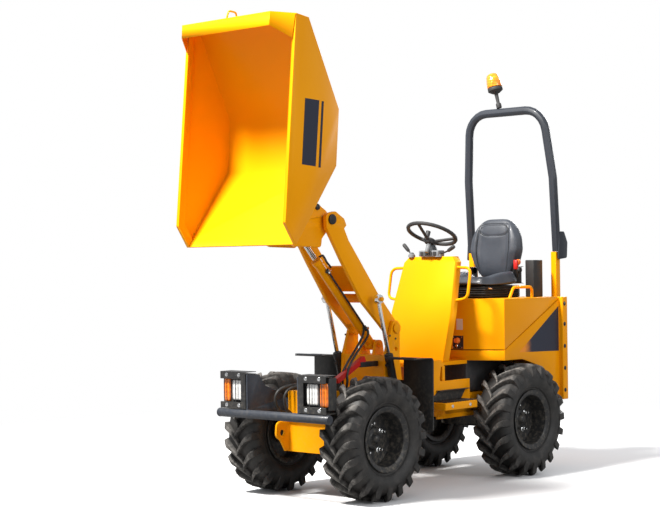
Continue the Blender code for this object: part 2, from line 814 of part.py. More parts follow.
def lifting_eye():
    base_z = SKIP_PROFILE[0][1]
    path = bent_path([
        (0.0, -0.735, base_z + 0.004),
        (0.0, -0.718, base_z + 0.050),
        (0.0, -0.665, base_z + 0.046),
        (0.0, -0.652, base_z - 0.002),
    ], 0.016, 4)
    return tube("lifting_eye", path, 0.0055, 2)


def skip_brackets():
    y, z = SKIP_PIN
    wall_a, wall_b = SKIP_PROFILE[3], SKIP_PROFILE[4]
    top = between(wall_a, wall_b, 0.045)
    low = between(wall_a, wall_b, 0.780)
    outline = rounded([
        (top[0], top[1], 0.0),
        (-0.165, 1.672, 0.030),
        (y - 0.004, z + 0.052, 0.025),
        (y + 0.044, z + 0.014, 0.030),
        (y + 0.018, z - 0.055, 0.030),
        (-0.112, 1.462, 0.015),
        (-0.120, 1.412, 0.020),
        (-0.330, 1.418, 0.020),
        (low[0], low[1], 0.0),
    ])
    for side, sign in (("left", 1.0), ("right", -1.0)):
        low_x, high_x = sorted((sign * BRACKET_X[0], sign * BRACKET_X[1]))
        bracket = plate("skip_bracket_" + side, outline, low_x, high_x)
        keep_off = plate("keep_off", inset(SKIP_PROFILE, [-GAP] * 6), -0.300, 0.300)
        bore = cylinder("bore", SKIP_PIN_R + RUN_GAP, 0.100, (sign * 0.095, y, z))
        attach(cut(bracket, [keep_off, bore]), "yellow", skip)


# ---------------------------------------------------------------- rear frame
def rear_chassis():
    low, top = RAIL_Z
    rail_end = BODY_REAR_Y - BODY_WALL - GAP
    rail_a = box("rear_chassis", (RAIL_X[0], 0.800, low), (RAIL_X[1], rail_end, top))
    rail_b = box("rail", (-RAIL_X[1], 0.800, low), (-RAIL_X[0], rail_end, top))
    bulkhead = box("bulkhead", (-SIDE_PLATE_X[0] + GAP, 0.780, 0.400), (SIDE_PLATE_X[0] - GAP, 0.805, 0.700))
    cross = box("cross", (-0.199, 1.700, low + 0.005), (0.199, rail_end - 0.001, top - 0.005))
    belly = box("belly", (-0.199, 0.790, 0.395), (0.199, 1.200, 0.405))
    skirt_a = box("skirt_a", (0.185, 0.790, 0.380), (0.199, 1.200, 0.440))
    skirt_b = box("skirt_b", (-0.199, 0.790, 0.380), (-0.185, 1.200, 0.440))
    forks = []
    for low_z in (TONGUE_Z[0] - 0.022 - 0.0012, TONGUE_Z[1] + 0.0012):
        outline = rounded([
            (-0.110, 0.790, 0.0),
            (-0.060, PIVOT_Y - 0.062, 0.050),
            (0.060, PIVOT_Y - 0.062, 0.050),
            (0.110, 0.790, 0.0),
        ], 6)
        forks.append(plate("fork", outline, low_z, low_z + 0.022, FLAT))
    pin = cylinder("pivot_pin", PIVOT_PIN_R, 0.170, (0.0, PIVOT_Y, 0.490), FLAT)
    body = weld(rail_a, [rail_b, bulkhead, cross, belly, skirt_a, skirt_b, *forks, pin, cowl_stand()])
    attach(body, "yellow", rear)


def side_plates():
    outline = rounded([
        (0.622, 0.7395, 0.0),
        (0.758, 0.7395, 0.0),
        (0.735, 0.613, 0.015),
        (1.030, 0.613, 0.0),
        (1.030, 0.470, 0.0),
        (0.785, 0.456, 0.0),
        (0.705, 0.456, 0.010),
    ])
    for side, sign in (("left", 1.0), ("right", -1.0)):
        low, high = sorted((sign * SIDE_PLATE_X[0], sign * SIDE_PLATE_X[1]))
        panel = plate("step_" + side, outline, low, high)
        low_x, high_x = sorted((sign * STEP_X[0], sign * STEP_X[1]))
        tread = box("tread", (low_x, STEP_Y[0], STEP_Z[0]), (high_x, STEP_Y[1], STEP_Z[1]), 0.004)
        attach(weld(panel, [tread]), "yellow", rear)


def engine():
    block = box("engine_block", (-0.170, 1.115, RAIL_Z[1] + GAP), (0.170, 1.600, 0.900), 0.008)
    attach(block, "engine", rear)


def body_plan(offset):
    """Half-plan of the engine bay's skin, moved inwards by an offset."""
    outline = [
        (-BODY_FRONT_HALF_X, BODY_FRONT_Y),
        (BODY_FRONT_HALF_X, BODY_FRONT_Y),
        (BODY_HALF_X, BODY_FLARE_Y),
        (BODY_HALF_X, BODY_REAR_Y),
        (-BODY_HALF_X, BODY_REAR_Y),
        (-BODY_HALF_X, BODY_FLARE_Y),
    ]
    if not offset:
        return outline
    return inset(outline, [offset] * 6)


def rear_body():
    """Lower skin, from its sill up to the slanted shut line."""
    skin = plate("rear_body", body_plan(0.0), 0.440, BODY_TOP_Z, FLAT)
    inside = plate("inside", body_plan(BODY_WALL), 0.300, BODY_TOP_Z + 0.100, FLAT)
    shut = SHUT_FRONT_Z - SHUT_GAP / 2
    above = plate("above", [
        (0.900, shut),
        (BODY_FLARE_Y, shut),
        (COVER_HINGE[0] + 0.0048, COVER_HINGE[1] - 0.020),
        (COVER_HINGE[0] + 0.0048, COVER_HINGE[1] - 0.0015),
        (COVER_HINGE[0] + 0.0400, COVER_HINGE[1] - 0.0015),
        (COVER_HINGE[0] + 0.0400, BODY_TOP_Z + 0.200),
        (0.900, BODY_TOP_Z + 0.200),
    ], -0.600, 0.600)
    arch = plate("arch", [
        (0.900, 0.200),
        (0.900, BODY_LOW_Z),
        (1.380, BODY_LOW_Z),
        (1.530, BODY_LOW_Z - 0.042),
        (1.665, 0.588),
        (1.765, 0.449),
        (1.900, 0.380),
        (1.900, 0.200),
    ], -0.600, 0.600)
    attach(cut(skin, [inside, above, arch]), "yellow", rear)


def rear_plate():
    low, top = PLATE_Z
    start = BODY_REAR_Y + GAP
    slab = box("rear_plate", (-PLATE_HALF_X, start, low), (PLATE_HALF_X, start + PLATE_T, top), 0.004)
    attach(weld(slab, posts()), "yellow", rear)


def posts():
    start = BODY_REAR_Y + PLATE_T - 0.002
    uprights = []
    for side, sign in (("left", 1.0), ("right", -1.0)):
        low = (sign * POST_X - POST_W / 2, start, POST_LOW_Z)
        high = (sign * POST_X + POST_W / 2, start + POST_D, POST_TOP_Z)
        uprights.append(box("post_" + side, low, high, 0.004))
    return uprights


def hoop_frame():
    post_mid = POST_MID_Y
    half = [
        (0.340, post_mid, POST_TOP_Z + 0.0021),
        (0.338, post_mid - 0.030, 1.860),
        (0.292, post_mid - 0.070, HOOP_TOP_Z),
    ]
    corners = half + [(-x, y, z) for x, y, z in reversed(half)]
    path = bent_path(corners, HOOP_BEND_R, 6)
    frame = tube("rops_hoop", path, HOOP_R, 2)
    latches = []
    for side, sign in (("left", 1.0), ("right", -1.0)):
        outline = rounded([
            (post_mid - 0.020, POST_TOP_Z - 0.050, 0.010),
            (HOOP_HINGE_Y + 0.020, POST_TOP_Z - 0.040, 0.015),
            (HOOP_HINGE_Y + 0.028, POST_TOP_Z + 0.060, 0.020),
            (HOOP_HINGE_Y - 0.010, POST_TOP_Z + 0.130, 0.015),
            (post_mid - 0.005, POST_TOP_Z + 0.130, 0.010),
        ])
        low, high = sorted((sign * 0.3600, sign * 0.3680))
        latches.append(plate("latch_" + side, outline, low, high))
    attach(weld(frame, latches), "slate", hoop)


def beacon():
    y = POST_MID_Y - 0.070
    lean = math.radians(-14.0)
    foot = Vector((-0.048, y, HOOP_TOP_Z + HOOP_R + 0.0012))
    turn = (0.0, lean, 0.0)
    base_profile = [
        (0.0, 0.146), (0.040, 0.146), (0.050, 0.140), (0.050, 0.122), (0.030, 0.108),
        (0.013, 0.100), (0.011, 0.040), (0.018, 0.030), (0.018, 0.003), (0.0, 0.003),
    ]
    attach(turned("beacon_base", base_profile, foot, turn, 16), "black", hoop)
    dome_profile = [
        (0.0, 0.242), (0.018, 0.240), (0.034, 0.232), (0.042, 0.218), (0.048, 0.180),
        (0.050, 0.146 + GAP), (0.0, 0.146 + GAP),
    ]
    attach(turned("beacon_dome", dome_profile, foot, turn, 16), "amber", hoop)


# ---------------------------------------------------------------- operator's place
def cowl():
    shape = bmesh.new()
    rings = []
    for z, y, half in COWL_SECTIONS:
        ring = [
            shape.verts.new((-half, y, z)),
            shape.verts.new((0.0, y + 0.010, z)),
            shape.verts.new((half, y, z)),
            shape.verts.new((half + 0.006, y + COWL_DEPTH, z)),
            shape.verts.new((-half - 0.006, y + COWL_DEPTH, z)),
        ]
        rings.append(ring)
    for lower, upper in zip(rings, rings[1:]):
        for index in range(5):
            after = (index + 1) % 5
            shape.faces.new((lower[index], lower[after], upper[after], upper[index]))
    shape.faces.new(list(reversed(rings[0])))
    shape.faces.new(rings[-1])
    bmesh.ops.recalc_face_normals(shape, faces=shape.faces)
    mesh = bpy.data.meshes.new("cowl")
    shape.to_mesh(mesh)
    shape.free()
    piece = link("cowl", mesh)
    attach(weld(piece, handles()), "yellow", rear)


def cowl_stand():
    """The upright under the cowl that joins it to the bulkhead and floor."""
    wide = box("floor", (-0.2455, 0.640, 0.698), (0.2455, 0.800, 0.7215))
    narrow = box("floor_rear", (-0.195, 0.795, 0.699), (0.195, BODY_FRONT_Y - GAP, 0.7216))
    return weld(wide, [narrow])


def console():
    piece = box("dash_console", (-0.078, 0.968, 1.3585), (0.078, 1.032, 1.3960), 0.006)
    up = Vector((0.0, math.sin(STEER_TILT), math.cos(STEER_TILT)))
    low = Vector(STEER_HUB) - up * (0.015 + GAP)
    column = rod_between("column", low - up * 0.060, low, 0.014, 16)
    attach(weld(piece, [column]), "grey", rear)


def handles():
    loops = []
    for side, sign in (("left", 1.0), ("right", -1.0)):
        out = sign * 0.312
        y = 0.985
        path = bent_path([
            (sign * 0.195, y + 0.012, 1.290),
            (out, y + 0.002, 1.286),
            (out, y - 0.034, 1.102),
            (sign * 0.210, y - 0.034, 1.088),
        ], 0.040, 4)
        loops.append(tube("loop_" + side, path, HANDLE_R, 2))
    return loops


def steering_wheel():
    hub = Vector(STEER_HUB)
    up = Vector((0.0, math.sin(STEER_TILT), math.cos(STEER_TILT)))
    turn = (-STEER_TILT, 0.0, 0.0)
    bpy.ops.mesh.primitive_torus_add(
        major_radius=STEER_R, minor_radius=STEER_TUBE_R, major_segments=28, minor_segments=8,
        location=hub + up * STEER_DISH, rotation=turn,
    )
    rim = bpy.context.active_object
    rim.name = "steering_wheel"
    for owner in list(rim.users_collection):
        owner.objects.unlink(rim)
    parts.objects.link(rim)
    smooth(rim, 60.0)
    boss = cylinder("boss", 0.030, 0.030, hub, turn)
    spokes = []
    for index in range(3):
        angle = math.radians(-90.0 + 120.0 * index)
        way = Matrix.Rotation(-STEER_TILT, 4, "X") @ Vector((math.cos(angle), math.sin(angle), 0.0))
        end = hub + up * STEER_DISH + way * (STEER_R - 0.002)
        spokes.append(rod_between("spoke", hub + way * 0.012, end, 0.0095, 10))
    foot = hub.lerp(end, 0.52)
    knob = rod_between("knob", foot, foot + up * 0.062, 0.015, 16)
    attach(weld(rim, [boss, *spokes, knob]), "black", axes["steering_wheel_axis"])


def engine_cover():
    """Upper skin with the seat on it, hinged along its rear edge."""
    skin = plate("engine_cover", body_plan(0.0), 0.700, BODY_TOP_Z, FLAT)
    inside = plate("inside", body_plan(BODY_WALL), 0.300, BODY_TOP_Z - BODY_WALL, FLAT)
    shut = SHUT_FRONT_Z + SHUT_GAP / 2
    below = plate("below", [
        (0.900, 0.500),
        (0.900, shut),
        (BODY_FLARE_Y, shut),
        (COVER_HINGE[0] - 0.004, COVER_HINGE[1] - 0.0135),
        (1.900, COVER_HINGE[1] - 0.0135),
        (1.900, 0.500),
    ], -0.600, 0.600)
    rear_cut = box("rear_cut", (-0.6, COVER_HINGE[0] - 0.001, 0.6), (0.6, 1.9, 1.3))
    pin = cylinder("hinge_pin", COVER_PIN_R, 2 * BODY_HALF_X - 0.080, (0.0, *COVER_HINGE))
    attach(weld(cut(skin, [inside, below, rear_cut]), [pin, *cover_handles()]), "yellow", cover)


def cover_handles():
    loops = []
    for side, sign in (("left", 1.0), ("right", -1.0)):
        x = sign * 0.300
        base = BODY_TOP_Z - 0.004
        path = bent_path([
            (x, 1.395, base),
            (x, 1.440, base + 0.070),
            (x, 1.640, base + 0.070),
            (x, 1.640, base),
        ], 0.030, 4)
        loops.append(tube("loop_" + side, path, HANDLE_R, 2))
    return loops


def seat():
    front_y, rear_y = SEAT_Y
    half = SEAT_HALF_X
    base = box("seat_suspension", (-0.190, front_y + 0.040, BODY_TOP_Z + GAP), (0.190, rear_y, 1.1720), 0.010)
    attach(base, "black", cover)
    cushion = box("seat_cushion", (-half, front_y, 1.1725), (half, rear_y - 0.020, 1.2500), 0.024)
    attach(cushion, "vinyl", cover)
    outline = rounded([
        (-0.150, 1.205, 0.030),
        (0.150, 1.205, 0.030),
        (0.194, 1.345, 0.050),
        (0.190, 1.470, 0.060),
        (0.120, 1.598, 0.070),
        (-0.120, 1.598, 0.070),
        (-0.190, 1.470, 0.060),
        (-0.194, 1.345, 0.050),
    ])
    back = plate("seat_back", outline, -0.045, 0.045, UPRIGHT)
    back = as_mesh(back)
    back.location = (0.0, 1.6935, 0.0)
    back.rotation_euler = (math.pi / 2, 0.0, 0.0)
    edge = back.modifiers.new("edges", "BEVEL")
    edge.width = 0.018
    edge.segments = 2
    edge.limit_method = "ANGLE"
    edge.angle_limit = math.radians(50.0)
    clear = box("clear", (-0.3, 1.5, 1.1), (0.3, rear_y - 0.020 + GAP, 1.2503))
    attach(cut(back, [clear]), "vinyl", cover)
    holder = box("rear_box", (0.238, 1.655, BODY_TOP_Z + GAP), (0.304, 1.756, 1.330), 0.004)
    attach(holder, "black", cover)


wheels()
axle("front_axle", 0.0, front)
axle("rear_axle", WHEELBASE, rear)
front_chassis()
bumper()
lamp_boxes()
mudguards()
lift_arms()
skip_shaft()
rams()
skip_tub()
skip_guard()
skip_brackets()
rear_chassis()
side_plates()
engine()
rear_body()
rear_plate()
hoop_frame()
beacon()
cowl()
steering_wheel()
console()
engine_cover()
seat()
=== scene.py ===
# %% [markdown]
# # A one-tonne high-tip site dumper
#
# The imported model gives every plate, tube, pin and wheel in metres: +X is the
# machine's left, it faces -Y and +Z is up.  This script leaves that frame where
# it is and adds what a frame can't show: lugged tyres, bolts and nuts, lamps
# behind their guards, hoses, a padded seat, and a finish for every surface.

# %% The frame
import json
import math

import bmesh
import bpy
import numpy as np
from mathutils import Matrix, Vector


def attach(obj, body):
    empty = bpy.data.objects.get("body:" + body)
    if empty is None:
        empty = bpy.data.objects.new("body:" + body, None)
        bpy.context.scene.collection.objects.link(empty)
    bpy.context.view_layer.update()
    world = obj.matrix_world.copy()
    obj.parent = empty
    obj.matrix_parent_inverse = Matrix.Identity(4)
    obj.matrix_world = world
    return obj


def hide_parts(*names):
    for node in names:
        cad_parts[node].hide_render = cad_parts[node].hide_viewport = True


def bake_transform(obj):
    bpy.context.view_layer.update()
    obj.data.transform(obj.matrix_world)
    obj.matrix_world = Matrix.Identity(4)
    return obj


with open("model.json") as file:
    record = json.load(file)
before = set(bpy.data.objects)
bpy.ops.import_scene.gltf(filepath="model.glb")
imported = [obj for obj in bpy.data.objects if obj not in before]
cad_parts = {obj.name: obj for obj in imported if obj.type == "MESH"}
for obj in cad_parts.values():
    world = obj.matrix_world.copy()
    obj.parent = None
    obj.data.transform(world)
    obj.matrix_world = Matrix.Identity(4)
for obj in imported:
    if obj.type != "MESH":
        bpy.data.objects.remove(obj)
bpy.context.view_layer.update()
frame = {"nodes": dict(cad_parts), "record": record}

AXLE_Y = -0.5955          # the front axle's station; other stations count from it

# %% [markdown]
# ## The camera
#
# The machine is seen from its front left corner, at chest height and from far
# back, so that a long lens keeps the four wheels nearly parallel.

# %% Camera
eye = bpy.data.objects.new("camera", bpy.data.cameras.new("camera"))
eye.location = (6.1311, -6.6770 + AXLE_Y, 1.3088)
eye.rotation_euler = (math.radians(90.03), math.radians(0.72), math.radians(42.28))
eye.data.lens = 86.525
eye.data.sensor_width = 36.0
bpy.context.scene.collection.objects.link(eye)
bpy.context.scene.camera = eye
print("camera", tuple(round(v, 3) for v in eye.location))

# %% [markdown]
# ## Shader sums
#
# A finish is a sum of a few patterns.  Written as Python expressions they are
# easier to read than a drawn tree, so one small class wraps a socket and turns
# + - * / into Math nodes, and one method makes every other node.

# %% Shader maths
class Field:
    """A number that varies over a surface, as a shader socket."""

    def __init__(self, finish, socket):
        self.finish = finish
        self.socket = socket

    def math(self, operation, *others):
        return self.finish.node("ShaderNodeMath", [self, *others], operation=operation)

    def __add__(self, other):
        return self.math("ADD", other)

    def __radd__(self, other):
        return self.math("ADD", other)

    def __mul__(self, other):
        return self.math("MULTIPLY", other)

    def __rmul__(self, other):
        return self.math("MULTIPLY", other)

    def __sub__(self, other):
        return self.math("SUBTRACT", other)

    def __rsub__(self, other):
        return self.finish.node("ShaderNodeMath", [other, self], operation="SUBTRACT")

    def clamp(self, low=0.0, high=1.0):
        return self.math("MAXIMUM", low).math("MINIMUM", high)

    def step(self, low, high):
        """0 below low, 1 above high, a smooth ramp between."""
        return self.finish.node(
            "ShaderNodeMapRange", {"Value": self, "From Min": low, "From Max": high},
            interpolation_type="SMOOTHSTEP", clamp=True,
        )


class Finish:
    """A material under one name, built node by node."""

    def __init__(self, name):
        self.material = bpy.data.materials.new(name)
        self.material.use_nodes = True
        self.tree = self.material.node_tree
        self.tree.nodes.clear()
        self.out = self.tree.nodes.new("ShaderNodeOutputMaterial")

    def node(self, kind, inputs=None, out=0, **settings):
        """Any node: its settings first, then the value or link of each socket."""
        made = self.tree.nodes.new(kind)
        for key, value in settings.items():
            setattr(made, key, value)
        pairs = inputs.items() if isinstance(inputs, dict) else enumerate(inputs or [])
        for key, value in pairs:
            if value is None:
                continue
            socket = made.inputs[key]
            if isinstance(value, Field):
                self.tree.links.new(value.socket, socket)
            elif hasattr(value, "__len__") and len(value) == 3 and socket.type == "RGBA":
                socket.default_value = (*value, 1.0)
            else:
                socket.default_value = value
        return Field(self, made.outputs[out])

    def place(self, scale=(1.0, 1.0, 1.0), shift=(0.0, 0.0, 0.0), turn=(0.0, 0.0, 0.0)):
        where = self.node("ShaderNodeTexCoord", out="Object")
        return self.node(
            "ShaderNodeMapping",
            {"Vector": where, "Scale": scale, "Location": shift, "Rotation": turn},
        )

    def noise(self, scale, detail=3.0, rough=0.5, where=None, warp=0.0):
        return self.node(
            "ShaderNodeTexNoise",
            {"Vector": where or self.place(), "Scale": scale, "Detail": detail,
             "Roughness": rough, "Distortion": warp},
        )

    def axes(self, where=None):
        """X, Y and Z of a place, as three fields."""
        split = self.tree.nodes.new("ShaderNodeSeparateXYZ")
        self.tree.links.new((where or self.place()).socket, split.inputs[0])
        return [Field(self, split.outputs[i]) for i in range(3)]

    def blend(self, share, first, second):
        """The first colour where share is 0, the second where it is 1."""
        return self.node(
            "ShaderNodeMix", {0: share, 6: first, 7: second}, out=2, data_type="RGBA",
        )

    def bump(self, height, depth, strength=1.0, under=None):
        return self.node(
            "ShaderNodeBump",
            {"Height": height, "Distance": depth, "Strength": strength, "Normal": under},
        )

    def surface(self, **sockets):
        names = {key.replace("_", " "): value for key, value in sockets.items()}
        shader = self.node("ShaderNodeBsdfPrincipled", names)
        self.tree.links.new(shader.socket, self.out.inputs["Surface"])
        return self.material


print("shader maths ready")

# %% [markdown]
# ## Paint
#
# Plant machinery wears a thick two-pack gloss.  It is not one flat colour: the
# film has a faint orange peel, the tint drifts a little from panel to panel,
# and dust dulls the gloss in patches and low down.

# %% Painted finishes
def gloss_paint(name, colour, shade, dust=(0.42, 0.36, 0.27), dull=0.30, grime=0.5,
                coat=0.10, sheen=0.30, tint=(1.0, 1.0, 1.0)):
    """Two near tints that drift, dust low down and in specks, orange peel in the gloss."""
    f = Finish(name)
    drift = f.noise(1.7, 2.0)
    film = f.noise(46.0, 4.0, 0.6)
    fine = f.noise(260.0, 3.0)
    peel = f.noise(420.0, 2.0)
    height = f.axes()[2]
    low = 1.0 - height.step(0.10, 0.85)
    speck = fine.step(0.56, 0.74) * film.step(0.48, 0.68)
    base = f.blend(drift.step(0.30, 0.70), colour, shade)
    share = (low * film.step(0.42, 0.75) * 0.45 + speck * 0.14) * grime
    film_colour = f.blend(share.clamp(), base, dust)
    rough = dull + film * 0.10 + share * 0.45 + fine * 0.04
    return f.surface(
        Base_Color=film_colour, Roughness=rough.clamp(), Coat_Weight=coat, Coat_Roughness=0.12,
        Specular_IOR_Level=sheen, Specular_Tint=(*tint, 1.0), Coat_Tint=(*tint, 1.0),
        Normal=f.bump(peel * 0.6 + film * 0.4, 0.00035, 0.35), IOR=1.5,
    )


YELLOW = gloss_paint("golden_yellow_paint", (0.84, 0.335, 0.0018), (0.80, 0.305, 0.0014),
                     grime=0.22, dust=(0.60, 0.36, 0.12), coat=0.06, sheen=0.28, tint=(1.0, 0.62, 0.10))
SLATE = gloss_paint("slate_grey_paint", (0.030, 0.035, 0.046), (0.023, 0.027, 0.035),
                    dull=0.42, grime=0.25)
BLACK = gloss_paint("satin_black_paint", (0.016, 0.016, 0.017), (0.022, 0.022, 0.022), dull=0.42)
RIM = gloss_paint("rim_black_paint", (0.012, 0.012, 0.013), (0.020, 0.020, 0.021), dull=0.36)
CASTING = gloss_paint("engine_casting", (0.035, 0.036, 0.040), (0.060, 0.060, 0.062), dull=0.55)


def chromed(name):
    """Bright plate with fine lines along it and a few smears."""
    f = Finish(name)
    lines = f.noise(90.0, 3.0, where=f.place(scale=(1.0, 0.2, 0.2)))
    smear = f.noise(14.0, 3.0)
    return f.surface(
        Base_Color=f.blend(smear.step(0.45, 0.8), (0.78, 0.79, 0.80), (0.66, 0.66, 0.65)),
        Metallic=1.0, Roughness=(smear * 0.14 + lines * 0.06 + 0.05).clamp(),
    )


def moulded(name, colour, rough=0.55, grain=900.0):
    """Pored moulding or rubber, rubbed paler in patches."""
    f = Finish(name)
    pores = f.node("ShaderNodeTexVoronoi", {"Vector": f.place(), "Scale": grain})
    cloud = f.noise(9.0, 3.0)
    worn = tuple(min(1.0, v * 1.5 + 0.012) for v in colour)
    return f.surface(
        Base_Color=f.blend(cloud.step(0.40, 0.80) * 0.6, colour, worn),
        Roughness=(rough + cloud * 0.12).clamp(), Normal=f.bump(pores, 0.0003, 0.35),
    )


CHROME = chromed("hard_chrome")
PLASTIC = moulded("black_moulding", (0.020, 0.020, 0.021))
GREY_PLASTIC = moulded("grey_moulding", (0.16, 0.17, 0.18))
VINYL = moulded("seat_vinyl", (0.028, 0.030, 0.034), 0.46, 700.0)
RUBBER = moulded("tyre_rubber", (0.026, 0.025, 0.024), 0.80, 1200.0)
AMBER = moulded("amber_lens", (0.90, 0.26, 0.010), 0.16, 60.0)
print(len(bpy.data.materials), "finishes")

# %% [markdown]
# ## Edges of the pressed and welded pieces
#
# A cut plate never has a knife edge: it is ground, then the paint rounds it.
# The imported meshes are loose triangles, so each gets a Weld, then a narrow
# Bevel that catches the light, and its flat faces stay flat.

# %% Finishes on the frame's nodes
FINISH_OF_SLOT = {
    "yellow_paint": YELLOW, "slate_paint": SLATE, "black_paint": BLACK, "rim_paint": RIM,
    "engine_metal": CASTING, "chromed_rod": CHROME, "black_plastic": PLASTIC,
    "grey_plastic": GREY_PLASTIC, "vinyl": VINYL, "tyre_rubber": RUBBER, "amber_lens": AMBER,
}
slot_of = {part["node"]: part["material_slot"] for part in frame["record"]["subparts"]}
EDGE_WIDTH, SEAM_REACH = 0.0022, 0.00005
for name, node in frame["nodes"].items():
    node.data.materials.clear()
    node.data.materials.append(FINISH_OF_SLOT[slot_of[name]])
    weld = node.modifiers.new("seams", "WELD")
    weld.merge_threshold = SEAM_REACH
    edge = node.modifiers.new("edges", "BEVEL")
    edge.width = EDGE_WIDTH
    edge.segments = 2
    edge.limit_method = "ANGLE"
    edge.angle_limit = math.radians(32.0)
    edge.harden_normals = True
    node.data.polygons.foreach_set("use_smooth", [True] * len(node.data.polygons))
print("finished", len(frame["nodes"]), "nodes")

# %% [markdown]
# ## Surfaces from numbers
#
# Everything added here is a family of rings: a closed outline that moves along
# a path, turns about an axle, or shrinks a little at its ends.  Numpy works out
# all the points of a piece as one array, and the faces follow from the grid's
# shape, so a bolt, a hose and a tyre come from the same few functions.

# %% Rings into meshes
def ring_faces(rings, points, around=True, along=False):
    """Quads of a grid of rings x points, as an (n, 4) array."""
    i = np.arange(rings if along else rings - 1)[:, None]
    j = np.arange(points if around else points - 1)[None, :]
    k, m = (i + 1) % rings, (j + 1) % points
    corners = [i * points + j, k * points + j, k * points + m, i * points + m]
    return np.stack([np.broadcast_to(c, (i.size, j.size)) for c in corners], -1).reshape(-1, 4)


def surface(grid, around=True, along=False, ends=True):
    """A grid (rings, points, 3) as (points, faces); open ends get a flat lid."""
    rings, points = grid.shape[:2]
    faces = ring_faces(rings, points, around, along).tolist()
    if ends and around and not along:
        faces.append(list(range(points)))
        faces.append(list(range((rings - 1) * points, rings * points))[::-1])
    return grid.reshape(-1, 3), faces


def joined(pieces):
    """Several (points, faces) as one."""
    points, faces, start = [], [], 0
    for p, f in pieces:
        points.append(p)
        faces += [[v + start for v in face] for face in f]
        start += len(p)
    return np.concatenate(points), faces


def put(name, pieces, finish, body, angle=35.0, stands_for=(), values=None):
    """Numbers into a finished object that rides on its body."""
    points, faces = joined(pieces if isinstance(pieces, list) else [pieces])
    mesh = bpy.data.meshes.new(name)
    mesh.from_pydata(points.tolist(), [], faces)
    if values is not None:
        layer = mesh.attributes.new("wear", "FLOAT", "POINT")
        layer.data.foreach_set("value", values.astype(np.float32))
    shape = bmesh.new()
    shape.from_mesh(mesh)
    bmesh.ops.recalc_face_normals(shape, faces=shape.faces)
    shape.to_mesh(mesh)
    shape.free()
    mesh.polygons.foreach_set("use_smooth", [True] * len(mesh.polygons))
    mesh.set_sharp_from_angle(angle=math.radians(angle))
    mesh.materials.append(finish)
    piece = bpy.data.objects.new(name, mesh)
    bpy.context.scene.collection.objects.link(piece)
    if body:
        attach(piece, body)
    if stands_for:
        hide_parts(*stands_for)
    return piece


def frame_along(way):
    """Two unit vectors square to a way, the first as near upright as can be."""
    way = np.asarray(way, float) / np.linalg.norm(way)
    up = np.array([0.0, 0.0, 1.0]) if abs(way[2]) < 0.9 else np.array([0.0, -1.0, 0.0])
    side = np.cross(up, way)
    side /= np.linalg.norm(side)
    return way, side, np.cross(way, side)


def turned(profile, centre, way, steps=32, closed=False):
    """Profile (radius, height) turned about a way: c + h w + r (s cos a + t sin a)."""
    way, side, other = frame_along(way)
    profile = np.asarray(profile, float)
    angle = np.linspace(0.0, 2.0 * np.pi, steps, endpoint=False)
    spoke = np.cos(angle)[:, None] * side + np.sin(angle)[:, None] * other
    grid = np.asarray(centre) + profile[:, 1, None, None] * way + profile[:, 0, None, None] * spoke
    return surface(grid, along=closed, ends=not closed)


def swept(path, section, up=(0.0, 0.0, 1.0)):
    """An outline (u, v) carried along a path: p + u s + v t at each point of it."""
    path, section = np.asarray(path, float), np.asarray(section, float)
    way = np.gradient(path, axis=0)
    way /= np.linalg.norm(way, axis=1)[:, None]
    side = np.cross(way, np.asarray(up, float))
    side /= np.linalg.norm(side, axis=1)[:, None]
    top = np.cross(side, way)
    grid = path[:, None] + section[None, :, 0, None] * side[:, None]
    return surface(grid + section[None, :, 1, None] * top[:, None])


def circle(radius, sides=10):
    """Outline of a round bar."""
    a = np.linspace(0.0, 2.0 * np.pi, sides, endpoint=False)
    return radius * np.stack([np.cos(a), np.sin(a)], -1)


def curve(points, count=40):
    """A smooth run through a few points: Catmull-Rom, the same share of count each."""
    p = np.asarray(points, float)
    p = np.concatenate([2 * p[:1] - p[1:2], p, 2 * p[-1:] - p[-2:-1]])
    t = np.linspace(0.0, len(p) - 3 - 1e-9, count)
    i = t.astype(int)
    f = (t - i)[:, None]
    a, b, c, d = p[i], p[i + 1], p[i + 2], p[i + 3]
    return 0.5 * (2 * b + (c - a) * f + (2 * a - 5 * b + 4 * c - d) * f**2
                  + (3 * b - a - 3 * c + d) * f**3)


def slab(outline, low, high, axis=0, edge=0.0015):
    """A flat outline given thickness along an axis, its rims drawn in by edge."""
    outline = np.asarray(outline, float)
    before, after = outline - np.roll(outline, 1, 0), np.roll(outline, -1, 0) - outline
    before /= np.linalg.norm(before, axis=1)[:, None]
    after /= np.linalg.norm(after, axis=1)[:, None]
    turn = before[:, 0] * after[:, 1] - before[:, 1] * after[:, 0]
    wind = np.sign(np.sum(turn))
    normal = wind * np.stack([-(before + after)[:, 1], (before + after)[:, 0]], -1)
    normal /= np.maximum(np.linalg.norm(normal, axis=1), 1e-9)[:, None]
    half = np.maximum(np.sqrt(np.clip((1 + np.sum(before * after, 1)) / 2, 0.05, 1)), 0.3)
    drawn = outline + edge * normal / half[:, None]
    rings = []
    heights = (low, low + edge, high - edge, high)
    for shape, height in zip((drawn, outline, outline, drawn), heights):
        rings.append(np.insert(shape, axis, height, axis=1))
    return surface(np.stack(rings))


def rounded_box(low, high, radius=0.003, steps=2):
    """A box whose upright edges are arcs and whose lids are drawn in."""
    (x0, y0, z0), (x1, y1, z1) = low, high
    a = np.linspace(0.0, np.pi / 2, steps + 1)
    corner = []
    for k, (cx, cy) in enumerate(((x1, y1), (x0, y1), (x0, y0), (x1, y0))):
        mx = cx - radius if cx == x1 else cx + radius
        my = cy - radius if cy == y1 else cy + radius
        corner.append(np.stack([mx + radius * np.cos(a + k * np.pi / 2),
                                my + radius * np.sin(a + k * np.pi / 2)], -1))
    return slab(np.concatenate(corner), z0, z1, axis=2, edge=radius * 0.7)


def at(x, y, z):
    """A place given from the front axle's station."""
    return np.array([x, y + AXLE_Y, z])


